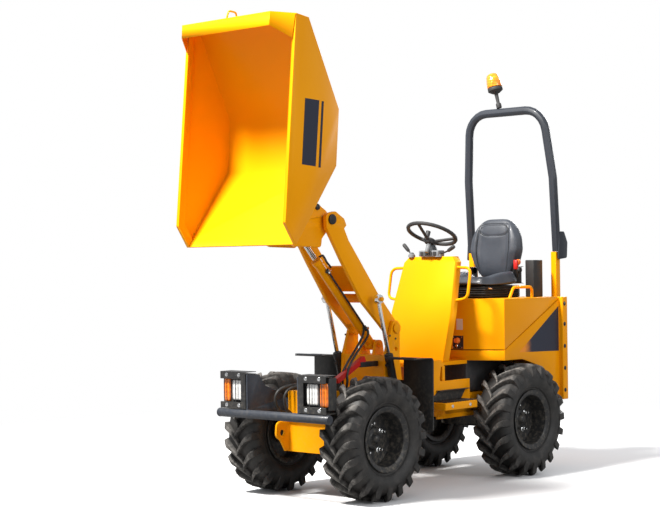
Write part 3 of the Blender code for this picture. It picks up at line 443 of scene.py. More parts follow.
def bolts(places, way, radius=0.0075, height=0.006, washer=True, sides=6):
    """Hexagon heads with a domed lid on round washers, all facing one way."""
    made = []
    head = [(0.0, height), (radius * 0.55, height), (radius * 0.92, height * 0.86),
            (radius, height * 0.6), (radius, 0.0)]
    seat = [(0.0, 0.0016), (radius * 1.55, 0.0016), (radius * 1.7, 0.0008), (radius * 1.7, -0.001)]
    for place in places:
        made.append(turned(head, place, way, sides))
        if washer:
            made.append(turned(seat, place, way, 14))
    return made


print("surface functions ready")

# %% [markdown]
# ## Lugged tyres
#
# A dumper's tyre is a tractor pattern: bars that start at the middle, sweep
# back to the shoulder and run a little way down the wall, left and right ones
# half a pitch apart.  The casing is one turned profile.  A bar is an outline
# carried along its own curve in (across, round, radius), then bent on to the
# wheel, so all forty of a wheel come from one array.

# %% Tyre casing and bars
TYRE_R, TYRE_HALF, WHEELBASE, WHEEL_MID = 0.3455, 0.1233, 1.3855, 0.3717
BARS, BAR_DEPTH = 20, 0.027


def casing_profile():
    """Radius and offset: bead, bulging wall, rounded shoulder, crowned tread."""
    h, deep = TYRE_HALF, TYRE_R - BAR_DEPTH
    side = [(0.1592, h - 0.045), (0.172, h - 0.040), (0.186, h - 0.032), (0.1965, h - 0.030),
            (0.1990, h - 0.0245), (0.203, h - 0.0215), (0.2055, h - 0.0225), (0.220, h - 0.012),
            (0.238, h - 0.0055), (0.256, h - 0.004), (0.272, h - 0.006), (0.288, h - 0.0125),
            (0.300, h - 0.022), (0.310, h - 0.036), (deep - 0.0025, h - 0.062), (deep, h - 0.095)]
    s = np.array(side)
    return np.concatenate([s, (s * [1, -1])[::-1]])


def bar_points(sign, start):
    """Bars of one side: (across, round, radius) of a tapered outline along each bar."""
    s = np.linspace(0.0, 1.0, 11)
    across = np.interp(s, [0, 0.80, 0.90, 0.97, 1.0], [-0.012, 0.094, 0.1110, 0.1205, 0.1215])
    top = TYRE_R - np.interp(s, [0, 0.72, 0.80, 0.90, 0.97, 1.0], [0, 0, 0.003, 0.017, 0.045, 0.066])
    round_ = 0.318 * (1.0 - (1.0 - np.clip(s / 0.93, 0, 1)) ** 1.55)
    half = np.interp(s, [0, 0.15, 0.8, 1.0], [0.0135, 0.0145, 0.0185, 0.0225]) / TYRE_R
    foot = half + np.interp(s, [0, 1], [0.010, 0.008]) / TYRE_R
    # outline, as (round, height) from one foot over the top to the other
    u = np.stack([-foot, -half, -half + 0.006, half - 0.006, half, foot], -1)
    v = np.stack([0 * s, 1 + 0 * s, 1.04 + 0 * s, 1.04 + 0 * s, 1 + 0 * s, 0 * s], -1)
    base = np.maximum(top - BAR_DEPTH - 0.010, 0.262)
    height = base[:, None] + v / 1.04 * (top - base)[:, None]
    shift = across[:, None] + 0.35 * TYRE_R * u * np.clip(1.1 - s, 0, 1)[:, None]
    shift = np.minimum(shift, TYRE_HALF - 0.001)
    angle = start[:, None, None] + (round_[:, None] + u)[None]
    return sign * shift[None] + 0 * angle, angle, height[None] + 0 * angle


def tyre(name, body, centre, nodes):
    """Casing and bars about an axle along X: (across, -r cos a, r sin a)."""
    made = [turned(casing_profile(), centre, (1, 0, 0), 96, closed=True)]
    worn = [np.zeros(len(made[0][0]))]
    for sign, phase in ((1.0, 0.0), (-1.0, 0.5)):
        start = (np.arange(BARS) + phase) * 2 * np.pi / BARS
        x, a, r = bar_points(sign, start)
        place = np.stack([x, -r * np.cos(a), r * np.sin(a)], -1) + np.asarray(centre)
        for bar, high in zip(place, r):
            made.append(surface(bar))
            worn.append(np.clip((high - TYRE_R + 0.020) / 0.018, 0, 1).reshape(-1))
    return put(name, made, TYRE, body, 30.0, nodes, np.concatenate(worn))


def tyre_finish():
    """Black rubber with a bloom of dust on the bars and in patches all over."""
    f = Finish("dusty_tyre")
    wear = f.node("ShaderNodeAttribute", out=2, attribute_name="wear")
    cloud = f.noise(16.0, 4.0, 0.6)
    grit = f.noise(210.0, 3.0, 0.6)
    scuff = f.noise(38.0, 5.0, 0.7, f.place(scale=(1.0, 1.0, 1.0)), 0.4)
    dark = f.blend(cloud.step(0.35, 0.7), (0.009, 0.0085, 0.008), (0.022, 0.019, 0.017))
    dusty = f.blend(scuff.step(0.36, 0.68), (0.050, 0.047, 0.044), (0.190, 0.178, 0.165))
    share = (wear * 0.85 + cloud.step(0.50, 0.72) * grit * 0.25).clamp()
    return f.surface(
        Base_Color=f.blend(share, dark, dusty),
        Roughness=(0.62 + share * 0.28 - cloud * 0.12).clamp(),
        Normal=f.bump(grit * 0.6 + scuff * 0.6, 0.0012, 0.5),
    )


TYRE = tyre_finish()
WHEELS = {
    "front_left": at(WHEEL_MID, 0, TYRE_R), "front_right": at(-WHEEL_MID, 0, TYRE_R),
    "rear_left": at(WHEEL_MID, WHEELBASE, TYRE_R), "rear_right": at(-WHEEL_MID, WHEELBASE, TYRE_R),
}
for where, centre in WHEELS.items():
    made = tyre("lugged_tyre_" + where, "wheel_" + where, centre, ["tyre_" + where])
print("tyre:", len(made.data.polygons), "faces each")

# %% [markdown]
# ## Wheel nuts, valves and hub caps
#
# Each steel wheel is held by five nuts on studs around a domed grease cap, and
# a valve leans out of the well.  The nuts are zinc plated, so they are the one
# bright spot in a black rim.

# %% Nuts and hubs
ZINC = chromed("zinc_plate")
NUT_CIRCLE, VALVE_CIRCLE, VALVE_TURN = 0.087, 0.140, 2.2
STUD = [(0, 0.030), (0.006, 0.029), (0.0065, 0.0), (0, 0)]
DOME = [(0.0, 0.030), (0.016, 0.028), (0.026, 0.020), (0.031, 0.006), (0.036, 0.002), (0.040, 0.0)]
VALVE = [(0.0, 0.040), (0.004, 0.040), (0.0045, 0.030), (0.003, 0.028), (0.003, 0.0), (0.007, -0.004)]
for where, centre in WHEELS.items():
    sign = 1.0 if centre[0] > 0 else -1.0
    way = (sign, 0, 0)
    a = np.linspace(0, 2 * np.pi, 5, endpoint=False) + 0.4
    face = centre[0] - sign * 0.0140 + sign * 0.0002
    ring = centre + NUT_CIRCLE * np.stack([0 * a, np.cos(a), np.sin(a)], -1)
    ring[:, 0] = face
    studs = [turned(STUD, place, way, 10) for place in ring]
    put("wheel_nuts_" + where, bolts(ring, way, 0.0125, 0.014) + studs, ZINC, "wheel_" + where)
    cap = centre.copy()
    cap[0] += sign * 0.0064
    well = VALVE_CIRCLE * np.array([0.0, math.cos(VALVE_TURN), math.sin(VALVE_TURN)])
    valve = turned(VALVE, centre + well + np.array([sign * 0.012, 0, 0]), (sign, 0.25, -0.3), 10)
    put("hub_cap_" + where, [turned(DOME, cap, way, 28), valve], RIM, "wheel_" + where)
print("wheels dressed")

# %% [markdown]
# ## Head lamps behind their guards
#
# Each lamp sits in a black steel box.  A clear lens lies inboard and an amber
# one outboard, and a folded guard of plate strips and two flat bars, held by
# four plated bolts, keeps stones off.  The strips are flat outlines given a
# thickness, and a lens is a shallow crowned pad with pressed ribs.

# %% Lamp finishes
def ribbed_lens(name, colour, deep, ribs, glow):
    """Pressed lens: upright ribs as bump, a painted reflection of the mirror behind as bands of tone in its
    colour, and a faint painted glow.
    """
    f = Finish(name)
    x, y, z = f.axes()
    band = (x * ribs).math("SINE") * 0.5 + 0.5
    cross = (z * ribs * 0.6).math("SINE") * 0.5 + 0.5
    cloud = f.noise(30.0, 3.0)
    # Painted reflection: the light and dark rib bands go into both the colour and the emission.
    tone = (band * 0.55 + cross * 0.15 + cloud * 0.5).clamp()
    return f.surface(
        Base_Color=f.blend(tone, deep, colour), Roughness=(0.10 + cloud * 0.12).clamp(),
        Coat_Weight=0.9, Coat_Roughness=0.03, Emission_Color=f.blend(tone, deep, colour),
        Emission_Strength=glow, Normal=f.bump(band + cross * 0.4, 0.002, 0.6),
    )


# The clear lens's near-white colour is a painted reflection of the lamp's mirror. Both lenses carry a faint
# painted glow.
CLEAR_LENS = ribbed_lens("clear_lens", (0.80, 0.79, 0.76), (0.22, 0.23, 0.25), 300.0, 0.03)
AMBER_LENS = ribbed_lens("amber_ribbed_lens", (0.95, 0.24, 0.006), (0.30, 0.035, 0.002), 330.0, 0.02)


def pad(x0, x1, z0, z1, y0, y1, sides=32, drawn_in=0.030):
    """A crowned pad facing -Y: (sign c |c|^0.28, sign s |s|^0.28), five rings drawn in."""
    a = np.linspace(0, 2 * np.pi, sides, endpoint=False)
    way = np.stack([np.cos(a), np.sin(a)], -1)
    way = np.sign(way) * np.abs(way) ** 0.28
    middle, half = np.array([x0 + x1, z0 + z1]) / 2, np.array([x1 - x0, z1 - z0]) / 2
    rings = []
    for share, depth in ((1.0, 0.0), (1.0, 0.35), (0.97, 0.62), (0.86, 0.84), (0.55, 0.97)):
        ring = middle + way * (half - drawn_in * (1 - share))
        rings.append(np.insert(ring, 1, AXLE_Y + y0 + (y1 - y0) * depth, axis=1))
    return surface(np.stack(rings))


# %% Lamps and guards
def sided(sign, low, high):
    """Box corners mirrored to one side, from stations."""
    x = sorted((sign * low[0], sign * high[0]))
    return at(x[0], low[1], low[2]), at(x[1], high[1], high[2])


for side, sign in (("left", 1.0), ("right", -1.0)):
    clear_x = sorted((sign * 0.246, sign * 0.330))
    amber_x = sorted((sign * 0.345, sign * 0.401))
    put("lamp_lens_" + side, [pad(*clear_x, 0.556, 0.672, -0.397, -0.410)], CLEAR_LENS, "front")
    put("lamp_amber_" + side, [pad(*amber_x, 0.548, 0.680, -0.397, -0.412)], AMBER_LENS, "front")
    rims = [pad(clear_x[0] - 0.006, clear_x[1] + 0.006, 0.549, 0.679, -0.397, -0.4035),
            pad(amber_x[0] - 0.004, amber_x[1] + 0.003, 0.543, 0.685, -0.397, -0.4030)]
    put("lamp_bezel_" + side, rims, PLASTIC, "front")
    strips = [
        rounded_box(*sided(sign, (0.2035, -0.4275, 0.677), (0.406, -0.4235, 0.719)), 0.0015),
        rounded_box(*sided(sign, (0.2035, -0.4275, 0.511), (0.406, -0.4235, 0.548)), 0.0015),
        rounded_box(*sided(sign, (0.2035, -0.4280, 0.514), (0.240, -0.4240, 0.716)), 0.0015),
        rounded_box(*sided(sign, (0.2035, -0.4270, 0.7155), (0.406, -0.3400, 0.719)), 0.0012),
        rounded_box(*sided(sign, (0.2035, -0.4270, 0.5110), (0.406, -0.3400, 0.5145)), 0.0012),
        rounded_box(*sided(sign, (0.283, -0.4262, 0.530), (0.288, -0.4242, 0.700)), 0.0008),
        rounded_box(*sided(sign, (0.373, -0.4262, 0.530), (0.379, -0.4242, 0.700)), 0.0008),
    ]
    put("lamp_guard_" + side, strips, BLACK, "front")
    heads = [at(sign * x, -0.4275, z) for x in (0.258, 0.356) for z in (0.530, 0.700)]
    put("lamp_bolts_" + side, bolts(heads, (0, -1, 0), 0.0068, 0.0055), ZINC, "front")
print("lamps guarded")

# %% [markdown]
# ## Hoses, pipe and fittings
#
# The tilt ram is fed at its foot, and a steel pipe along its back carries oil
# to the gland end.  Rubber hoses reach the foot fittings from the frame below.
# Each is a round outline carried along a smooth run through a few points.

# %% Hose finish and runs
def hose_finish():
    """Black rubber with a fine wrapped weave."""
    f = Finish("hose_rubber")
    weave = f.noise(600.0, 2.0)
    cloud = f.noise(25.0, 3.0)
    return f.surface(
        Base_Color=f.blend(cloud.step(0.4, 0.8), (0.012, 0.012, 0.012), (0.050, 0.047, 0.043)),
        Roughness=(0.45 + cloud * 0.2).clamp(), Normal=f.bump(weave, 0.0004, 0.5),
    )


HOSE = hose_finish()


def hose(name, places, radius, body):
    """A rubber hose through a few stations."""
    path = curve([at(*place) for place in places], 44)
    return put(name, [swept(path, circle(radius, 12), up=(1.0, 0.0, 0.0))], HOSE, body, 60.0)


RAM_FOOT, RAM_TOP = np.array([0.420, 0.840]), np.array([-0.162, 1.453])
RAM_WAY = (RAM_TOP - RAM_FOOT) / np.linalg.norm(RAM_TOP - RAM_FOOT)


def on_tilt_ram(along, out, x):
    """A place beside the tilt ram: along its axis from the foot, and out from it."""
    y, z = RAM_FOOT + along * RAM_WAY + out * np.array([RAM_WAY[1], -RAM_WAY[0]])
    return at(x, y, z)


PIPE_X, FOOT_PORT, GLAND_PORT = 0.0405, 0.140, 0.600
PORT = [(0, 0.050), (0.009, 0.050), (0.010, 0.048), (0.010, 0.022), (0, 0.022)]
ELBOW = [(0, 0.018), (0.0085, 0.018), (0.010, 0.015), (0.010, -0.015), (0, -0.015)]
UNION = [(0, 0.013), (0.008, 0.013), (0.0105, 0.010), (0.0105, 0), (0, 0)]
pipe_path = np.stack([on_tilt_ram(s, 0.0, PIPE_X) for s in np.linspace(0.155, 0.590, 24)])
pipe_path[0] += [-0.004, 0, 0]
put("tilt_ram_pipe", [swept(pipe_path, circle(0.0058, 12), up=(1, 0, 0))], HOSE, "tilt_barrel", 60.0)
ports, unions = [], []
for along in (FOOT_PORT, GLAND_PORT):
    ports.append(turned(PORT, on_tilt_ram(along, 0.0, 0.0), (1, 0, 0), 14))
    ports.append(turned(ELBOW, on_tilt_ram(along, 0.0, PIPE_X), (0, RAM_WAY[0], RAM_WAY[1]), 6))
    unions.append(turned(UNION, on_tilt_ram(along, 0.0, 0.049), (1, 0, 0), 6))
put("tilt_ram_ports", ports, BLACK, "tilt_barrel")
put("tilt_ram_unions", unions, ZINC, "tilt_barrel")

upper = [(0.040, 0.028, 1.300), (0.045, 0.008, 1.314), (0.050, -0.018, 1.332),
         (0.054, -0.034, 1.348), (0.050, -0.040, 1.360), (0.034, -0.034, 1.368),
         (0.0, -0.026, 1.358), (-0.022, -0.016, 1.330), (-0.029, -0.004, 1.292)]
hose("gland_hose", upper, 0.0062, "tilt_barrel")
runs = {
    "feed_hose_front": [
        (0.050, 0.322, 0.943), (0.056, 0.328, 0.915), (0.062, 0.303, 0.880), (0.088, 0.190, 0.806),
        (0.106, 0.112, 0.745), (0.118, 0.071, 0.690), (0.118, 0.070, 0.645), (0.100, 0.080, 0.6005),
    ],
    "feed_hose_rear": [
        (0.034, 0.318, 0.935), (0.042, 0.290, 0.890), (0.062, 0.209, 0.824), (0.080, 0.118, 0.754),
        (0.088, 0.064, 0.694), (0.086, 0.066, 0.640), (0.074, 0.082, 0.6005),
    ],
}
for name, places in runs.items():
    made = hose(name, places, 0.0072, None)
    at(0, 0.30, 0.90)
    at(0, 0.15, 0.78)
    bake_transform(made)
print("hoses run")

# %% Pins, rings and small fixings of the lift gear
FACE = 0.1725
SKIP_PIN_CAP = [(0, 0.0070), (0.012, 0.0068), (0.0195, 0.0050), (0.0205, 0.0), (0, 0)]
BRACKET_PIN = [(0, 0.012), (0.010, 0.0118), (0.0165, 0.008), (0.0175, 0.0), (0, 0)]
GLAND = [(0.0128, 0.010), (0.0215, 0.010), (0.0255, 0.007), (0.0262, 0.0), (0.0262, -0.022), (0.0238, -0.024)]
BARREL_PORT = [(0, 0.040), (0.008, 0.040), (0.010, 0.036), (0.010, 0.020), (0, 0.020)]
EYE_PIN = [(0.0, 0.030), (0.010, 0.030), (0.0125, 0.027), (0.0125, 0.0), (0, 0)]
tower, caps, pins = [], [], []
for s in (1.0, -1.0):
    way = (s, 0, 0)
    tower += bolts([at(s * FACE, 0.386, 0.898), at(s * FACE, 0.437, 0.879)], way, 0.0065, 0.004, False)
    tower += bolts([at(s * FACE, 0.441, 0.940)], way, 0.0145, 0.007)
    caps.append(turned(SKIP_PIN_CAP, at(s * 0.1462, -0.075, 1.570), way, 22))
    pins.append(turned(BRACKET_PIN, at(s * 0.1043, -0.150, 1.640), way, 20))
put("tower_bolts", tower, BLACK, "front")
put("skip_pin_caps", caps, BLACK, "arms")
put("bracket_pins", pins, BLACK, "skip")
BASE, EYE = np.array([0.427, 0.458]), np.array([0.255, 1.114])
LIFT_WAY = (EYE - BASE) / np.linalg.norm(EYE - BASE)
for side, s in (("left", 1.0), ("right", -1.0)):
    rings = [turned(GLAND, at(s * 0.2, *(BASE + 0.339 * LIFT_WAY)), (0.0, *LIFT_WAY), 26, closed=True)]
    for along in (0.290, 0.060):
        place = at(s * 0.2, *(BASE + along * LIFT_WAY))
        rings.append(turned(BARREL_PORT, place, (0, -LIFT_WAY[1], LIFT_WAY[0]), 8))
    put("lift_gland_" + side, rings, BLACK, "lift_barrel_" + side)
    put("lift_eye_pin_" + side, [turned(EYE_PIN, at(s * 0.205, *EYE), (s, 0, 0), 18)], YELLOW, "arms")
print("lift gear dressed")

# %% [markdown]
# ## The safety prop
#
# A red strut is stowed beside the frame.  It is swung up and pinned under the
# raised skip when someone works below, so it is painted to be seen.

# %% The prop and its rest
RED = gloss_paint("warning_red_paint", (0.52, 0.018, 0.014), (0.44, 0.015, 0.012), grime=0.3)
prop = np.linspace(at(0.098, 0.235, 0.770), at(0.100, -0.005, 0.655), 8)
square = np.array([[-1, -1], [1, -1], [1, 1], [-1, 1]]) * 0.0155
put("safety_prop", [swept(prop, square)], RED, "front", 30.0)
rod = np.linspace(at(0.101, 0.010, 0.6655), at(0.106, -0.130, 0.6560), 6)
put("prop_latch", [swept(rod, circle(0.006, 10))], ZINC, "front")
seat = rounded_box(at(0.082, 0.190, 0.7220), at(0.117, 0.345, 0.7520), 0.003)
stay = rounded_box(at(0.084, 0.000, 0.5995), at(0.116, 0.020, 0.6420), 0.002)
put("prop_rest", [seat, stay], BLACK, "front")
print("prop stowed")

# %% Bumper ends, front hoses and the mudguards' edge strips
BUMPER_CAP = [(0.0, 0.004), (0.018, 0.0038), (0.0245, 0.002), (0.0255, -0.001), (0.0255, -0.005),
              (0.0246, -0.006)]
for s, side in ((1.0, "left"), (-1.0, "right")):
    cap = turned(BUMPER_CAP, at(s * 0.4225, -0.4165, 0.4840), (s, 0, 0), 28)
    put("bumper_cap_" + side, [cap], SLATE, "front")
    lip = rounded_box(*sided(s, (0.260, 0.2515, 0.7796), (0.4615, 0.2760, 0.7836)), 0.001)
    put("guard_lip_" + side, [lip], SLATE, "front")
    heads = [at(s * x, 0.4285, 0.740) for x in (0.285, 0.345, 0.405)]
    put("guard_bolts_" + side, bolts(heads, (0, 1, 0), 0.006, 0.005), ZINC, "front")
hose("front_hose_a", [
    (-0.150, -0.150, 0.470), (-0.155, -0.215, 0.500), (-0.150, -0.245, 0.560),
    (-0.140, -0.215, 0.610), (-0.125, -0.120, 0.630), (-0.110, 0.020, 0.6095),
], 0.0085, "front")
hose("front_hose_b", [
    (-0.110, -0.152, 0.470), (-0.112, -0.200, 0.510), (-0.105, -0.215, 0.575),
    (-0.095, -0.170, 0.618), (-0.080, -0.060, 0.622), (-0.070, 0.080, 0.6085),
], 0.0075, "front")
hose("front_hose_c", [
    (0.090, -0.152, 0.500), (0.095, -0.205, 0.540), (0.088, -0.200, 0.600),
    (0.080, -0.110, 0.628), (0.070, 0.050, 0.6085),
], 0.0075, "front")
print("front dressed")
# %% [markdown]
# ## Bands, blank plates and the shut line
#
# The machine carries plain painted bands where a maker would put lettering.
# Here they stay blank: a dark plate and a thin stripe on the skip's side, and
# a dark wedge across the body's side that gives way to orange at its front.
# Each is a thin film just proud of the plate under it.

# %% Band finishes
NAVY = gloss_paint("navy_band", (0.010, 0.013, 0.030), (0.014, 0.018, 0.040), dull=0.35, grime=0.2)
PALE = gloss_paint("pale_plate", (0.72, 0.70, 0.62), (0.66, 0.64, 0.57), dull=0.4, grime=0.3)
ORANGE = moulded("orange_moulding", (0.80, 0.16, 0.010), 0.40, 500.0)


def wedge_finish():
    """Navy, with a short fade to orange at the front end of the band."""
    f = Finish("navy_wedge")
    y = f.axes()[1]
    grain = f.noise(60.0, 3.0)
    share = 1.0 - (y + grain * 0.03).step(AXLE_Y + 1.405, AXLE_Y + 1.500)
    return f.surface(
        Base_Color=f.blend(share, (0.010, 0.013, 0.030), (0.80, 0.25, 0.004)),
        Roughness=(0.34 + grain * 0.10).clamp(), Coat_Weight=0.1,
    )


def film(name, corners, x, finish, body, thick=0.0007):
    """A flat film on a plate that faces sideways: corners are stations (Y, Z)."""
    outline = np.array(corners, float) + np.array([AXLE_Y, 0.0])
    low, high = sorted((x, x + math.copysign(thick, x)))
    return put(name, [slab(outline, low, high, axis=0, edge=0.0002)], finish, body)


WEDGE = wedge_finish()
BODY_BAND = [(1.345, 0.7605), (1.777, 0.7505), (1.777, 1.0350)]
for side, s in (("left", 1.0), ("right", -1.0)):
    film("body_band_" + side, BODY_BAND, s * 0.4051, WEDGE, "rear")
print("bands laid")

# %% Skip bands, sticker and notice plates
SKIP_PLATE = [(-0.576, 2.195), (-0.466, 2.190), (-0.501, 1.837), (-0.607, 1.844)]
SKIP_STRIPE = [(-0.447, 2.187), (-0.430, 2.187), (-0.462, 1.832), (-0.479, 1.832)]
for ending, s in (("", 1.0), ("_right", -1.0)):
    film("skip_band_plate" + ending, SKIP_PLATE, s * 0.4213, NAVY, "skip", 0.0009)
    film("skip_band_stripe" + ending, SKIP_STRIPE, s * 0.4213, NAVY, "skip", 0.0009)


def front_film(name, x0, x1, z0, z1, y, finish, body):
    """A flat film on a face that looks forward."""
    outline = np.array([(x0, z0), (x1, z0), (x1, z1), (x0, z1)])
    y += AXLE_Y
    return put(name, [slab(outline, y - 0.0010, y - 0.0001, axis=1, edge=0.0002)], finish, body)


front_film("notice_plate", 0.118, 0.166, 0.905, 0.972, 1.090, PALE, "rear")
front_film("isolator_plate", 0.088, 0.170, 0.787, 0.868, 1.090, PLASTIC, "rear")
FORWARD = (0, -1, 0)
KNOB = [(0.0, 0.026), (0.010, 0.0255), (0.0155, 0.022), (0.0165, 0.006), (0.0185, 0.003),
        (0.0185, 0.0), (0, 0)]
KEY = [(0, 0.018), (0.008, 0.018), (0.010, 0.014), (0.010, 0), (0, 0)]
put("isolator_knob", [turned(KNOB, at(0.127, 1.0895, 0.838), FORWARD, 20)], ORANGE, "rear")
put("isolator_key", [turned(KEY, at(0.127, 1.0895, 0.806), FORWARD, 12)], ZINC, "rear")
corners = [at(x, 1.0890, z) for x in (0.096, 0.160) for z in (0.796, 0.859)]
put("isolator_bolts", bolts(corners, FORWARD, 0.0045, 0.004, False), ZINC, "rear")
print("plates fixed")

# %% [markdown]
# ## Bolts of the rear plate, and the steps
#
# The rear plate carries bolts down its edge.  Each step hangs from a folded
# flange and a gusset, and raised bars across it grip the boot.

# %% Body bolts and steps
STEP_GUSSET = np.array([(0.632, 0.500), (0.940, 0.500), (0.985, 0.556), (0.718, 0.556)]) + [AXLE_Y, 0.0]
TREAD_START, TREAD_PITCH, TREAD_WIDTH, TREADS = 0.645, 0.0235, 0.0075, 13
for side, s in (("left", 1.0), ("right", -1.0)):
    heads = [at(s * 0.4320, 1.806, z) for z in (0.500, 0.640, 0.780, 0.920, 1.050)]
    put("plate_bolts_" + side, bolts(heads, (s, 0, 0), 0.008, 0.006), SLATE, "rear")
    flange = rounded_box(*sided(s, (0.2605, 0.700, 0.556), (0.290, 1.000, 0.5605)), 0.001)
    put("step_flange_" + side, [flange], BLACK, "rear")
    low, high = sorted((s * 0.2605, s * 0.2635))
    put("step_plate_" + side, [slab(STEP_GUSSET, low, high, axis=0, edge=0.0005)], BLACK, "rear")
    treads = []
    for y in TREAD_START + TREAD_PITCH * np.arange(TREADS):
        bar = sided(s, (0.268, y, 0.4962), (0.380, y + TREAD_WIDTH, 0.5020))
        treads.append(rounded_box(*bar, 0.0015))
    put("step_treads_" + side, treads, BLACK, "rear")
    heads = [at(s * 0.3855, y, 0.474) for y in (0.700, 0.870)]
    put("step_bolts_" + side, bolts(heads, (s, 0, 0), 0.0062, 0.005), ZINC, "rear")
print("body dressed")

# %% [markdown]
# ## Levers, shaft and switches at the wheel
#
# Two cranked levers with long grips stand on the console, one for the skip
# and one for direction.  A ribbed grey bellows closes the column:
# r = 0.036 - 0.010 h + 0.0042 cos(14 pi h) for h from 0 to 1.

# %% Levers and column
GRIP = [(0.0, 0.010), (0.007, 0.009), (0.0110, 0.005), (0.0125, -0.003), (0.0120, -0.030), (0.0105, -0.046),
        (0.0060, -0.052), (0, -0.052)]
BOOT = [(0, 0.020), (0.009, 0.018), (0.015, 0.012), (0.013, 0.009), (0.021, 0.004),
        (0.023, -0.012), (0, -0.012)]
for name, places in {
    "skip_lever": [
        (-0.150, 0.990, 1.372), (-0.168, 0.990, 1.390), (-0.190, 0.988, 1.414), (-0.206, 0.986, 1.432),
    ],
    "drive_lever": [
        (0.064, 0.990, 1.372), (0.098, 0.989, 1.379), (0.140, 0.987, 1.392), (0.182, 0.986, 1.415),
    ],
}.items():
    put(name, [swept(curve([at(*p) for p in places], 20), circle(0.0052, 10))], BLACK, "rear", 60.0)
    end, before = at(*places[-1]), at(*places[-2])
    put(name + "_grip", [turned(GRIP, end, (end - before), 22)], PLASTIC, "rear", 50.0)
    boot = turned(BOOT, at(*places[0]) + np.array([0, 0, -0.004]), (0, 0, 1), 20)
    put(name + "_boot", [boot], GREY_PLASTIC, "rear", 50.0)
h = np.linspace(0.0, 1.0, 29)
bellows = np.stack([0.036 - 0.010 * h + 0.0042 * np.cos(h * 2 * np.pi * 7), 0.036 * h], -1)
bellows = np.concatenate([[[0.0, 0.037]], bellows[::-1], [[0.0, 0.0]]])
sleeve = turned(bellows, at(0.0, 0.998, 1.3950), (0, -0.10, 1), 36)
put("column_bellows", [sleeve], GREY_PLASTIC, "rear", 60.0)
keys = []
for x in (-0.050, -0.018, 0.018, 0.050):
    keys.append(rounded_box(at(x - 0.012, 0.9640, 1.366), at(x + 0.012, 0.9682, 1.388), 0.002))
put("column_switches", keys, PLASTIC, "rear")
print("column dressed")
# %% [markdown]
# ## The seat
#
# A moulded vinyl seat: the back is a crowned shell with thick side bolsters
# that roll forward, a panel seam inside them and a shallow head panel set into
# the top.  The cushion is a tray with raised sides and a rolled front.  Each is
# one closed padded form.  From the rim, rings run in to the middle of the
# front and the back, and the depth of the padding is a sum of smooth bumps.

# %% Seat vinyl
def seat_vinyl():
    """Grey vinyl: pressed grain, fine creases and a soft sheen."""
    f = Finish("seat_vinyl")
    grain = f.node("ShaderNodeTexVoronoi", {"Vector": f.place(), "Scale": 620.0}, feature="F1")
    cloud = f.noise(7.0, 3.0)
    crease = f.noise(38.0, 4.0, 0.62, warp=0.4)
    return f.surface(
        Base_Color=f.blend(cloud.step(0.35, 0.75), (0.030, 0.035, 0.046), (0.045, 0.051, 0.064)),
        Roughness=(0.36 + cloud * 0.10 + grain * 0.05).clamp(),
        Normal=f.bump(grain * 0.8 + crease * 0.5, 0.0006, 0.35), Coat_Weight=0.08,
    )


SEAT = seat_vinyl()
SEAM = moulded("seam_thread", (0.010, 0.011, 0.012), 0.7, 1500.0)
BACK_MID_Y, BACK_LOW, BACK_TOP = 1.690, 1.208, 1.598
BACK_MID_Z, BACK_LEAN, CUSHION_LOW = 1.400, 0.045, 1.1728


def back_width(share):
    """Half width of the seat back by height: narrow foot, wide at the ribs, round crown."""
    return np.interp(share, [0, 0.10, 0.25, 0.48, 0.70, 0.88, 1.0],
                     [0.138, 0.150, 0.172, 0.193, 0.186, 0.168, 0.150])


def back_outline(count=120):
    """Rim of the back: its width by height, rounder at the crown than at the foot."""
    t = np.linspace(0, 2 * np.pi, count, endpoint=False)
    c, s = np.cos(t), np.sin(t)
    z = (BACK_LOW + BACK_TOP) / 2 + (BACK_TOP - BACK_LOW) / 2 * np.sign(s) * np.abs(s) ** 0.74
    share = (z - BACK_LOW) / (BACK_TOP - BACK_LOW)
    x = back_width(share) * np.sign(c) * np.abs(c) ** np.where(s > 0, 0.46, 0.30)
    return np.stack([x, z], -1)


def smooth(v, low, high):
    """3 t^2 - 2 t^3, from 0 at low to 1 at high."""
    t = np.clip((v - low) / (high - low), 0, 1)
    return t * t * (3 - 2 * t)


def back_depth(x, z, rim):
    """Padding in front of the mid plane: crown, bolsters, panel groove and head panel."""
    crown = 0.024 * (1 - rim ** 3.2)
    share = (z - BACK_LOW) / (BACK_TOP - BACK_LOW)
    away = np.abs(x) / back_width(share)
    roll = np.interp(share, [0, 0.18, 0.45, 0.80, 1.0], [0.002, 0.012, 0.030, 0.018, 0.006])
    bolster = roll * smooth(away, 0.50, 0.80) * (1 - smooth(rim, 0.93, 1.0))
    groove = -0.0055 * np.exp(-(((away - 0.66) / 0.030) ** 2))
    groove = groove * smooth(share, 0.02, 0.12) * (1 - smooth(share, 0.86, 0.95))
    top_groove = -0.0050 * np.exp(-(((z - 1.565) / 0.0050) ** 2)) * (1 - smooth(away, 0.60, 0.70))
    lower = 1.490 + 0.030 * (x / 0.11) ** 4
    head = -0.0045 * np.exp(-(((z - lower) / 0.0050) ** 2)) * (1 - smooth(np.abs(x), 0.105, 0.118))
    lumbar = 0.010 * np.exp(-(((share - 0.30) / 0.20) ** 2)) * (1 - smooth(away, 0.4, 0.8))
    return crown + bolster + groove + top_groove + head + lumbar


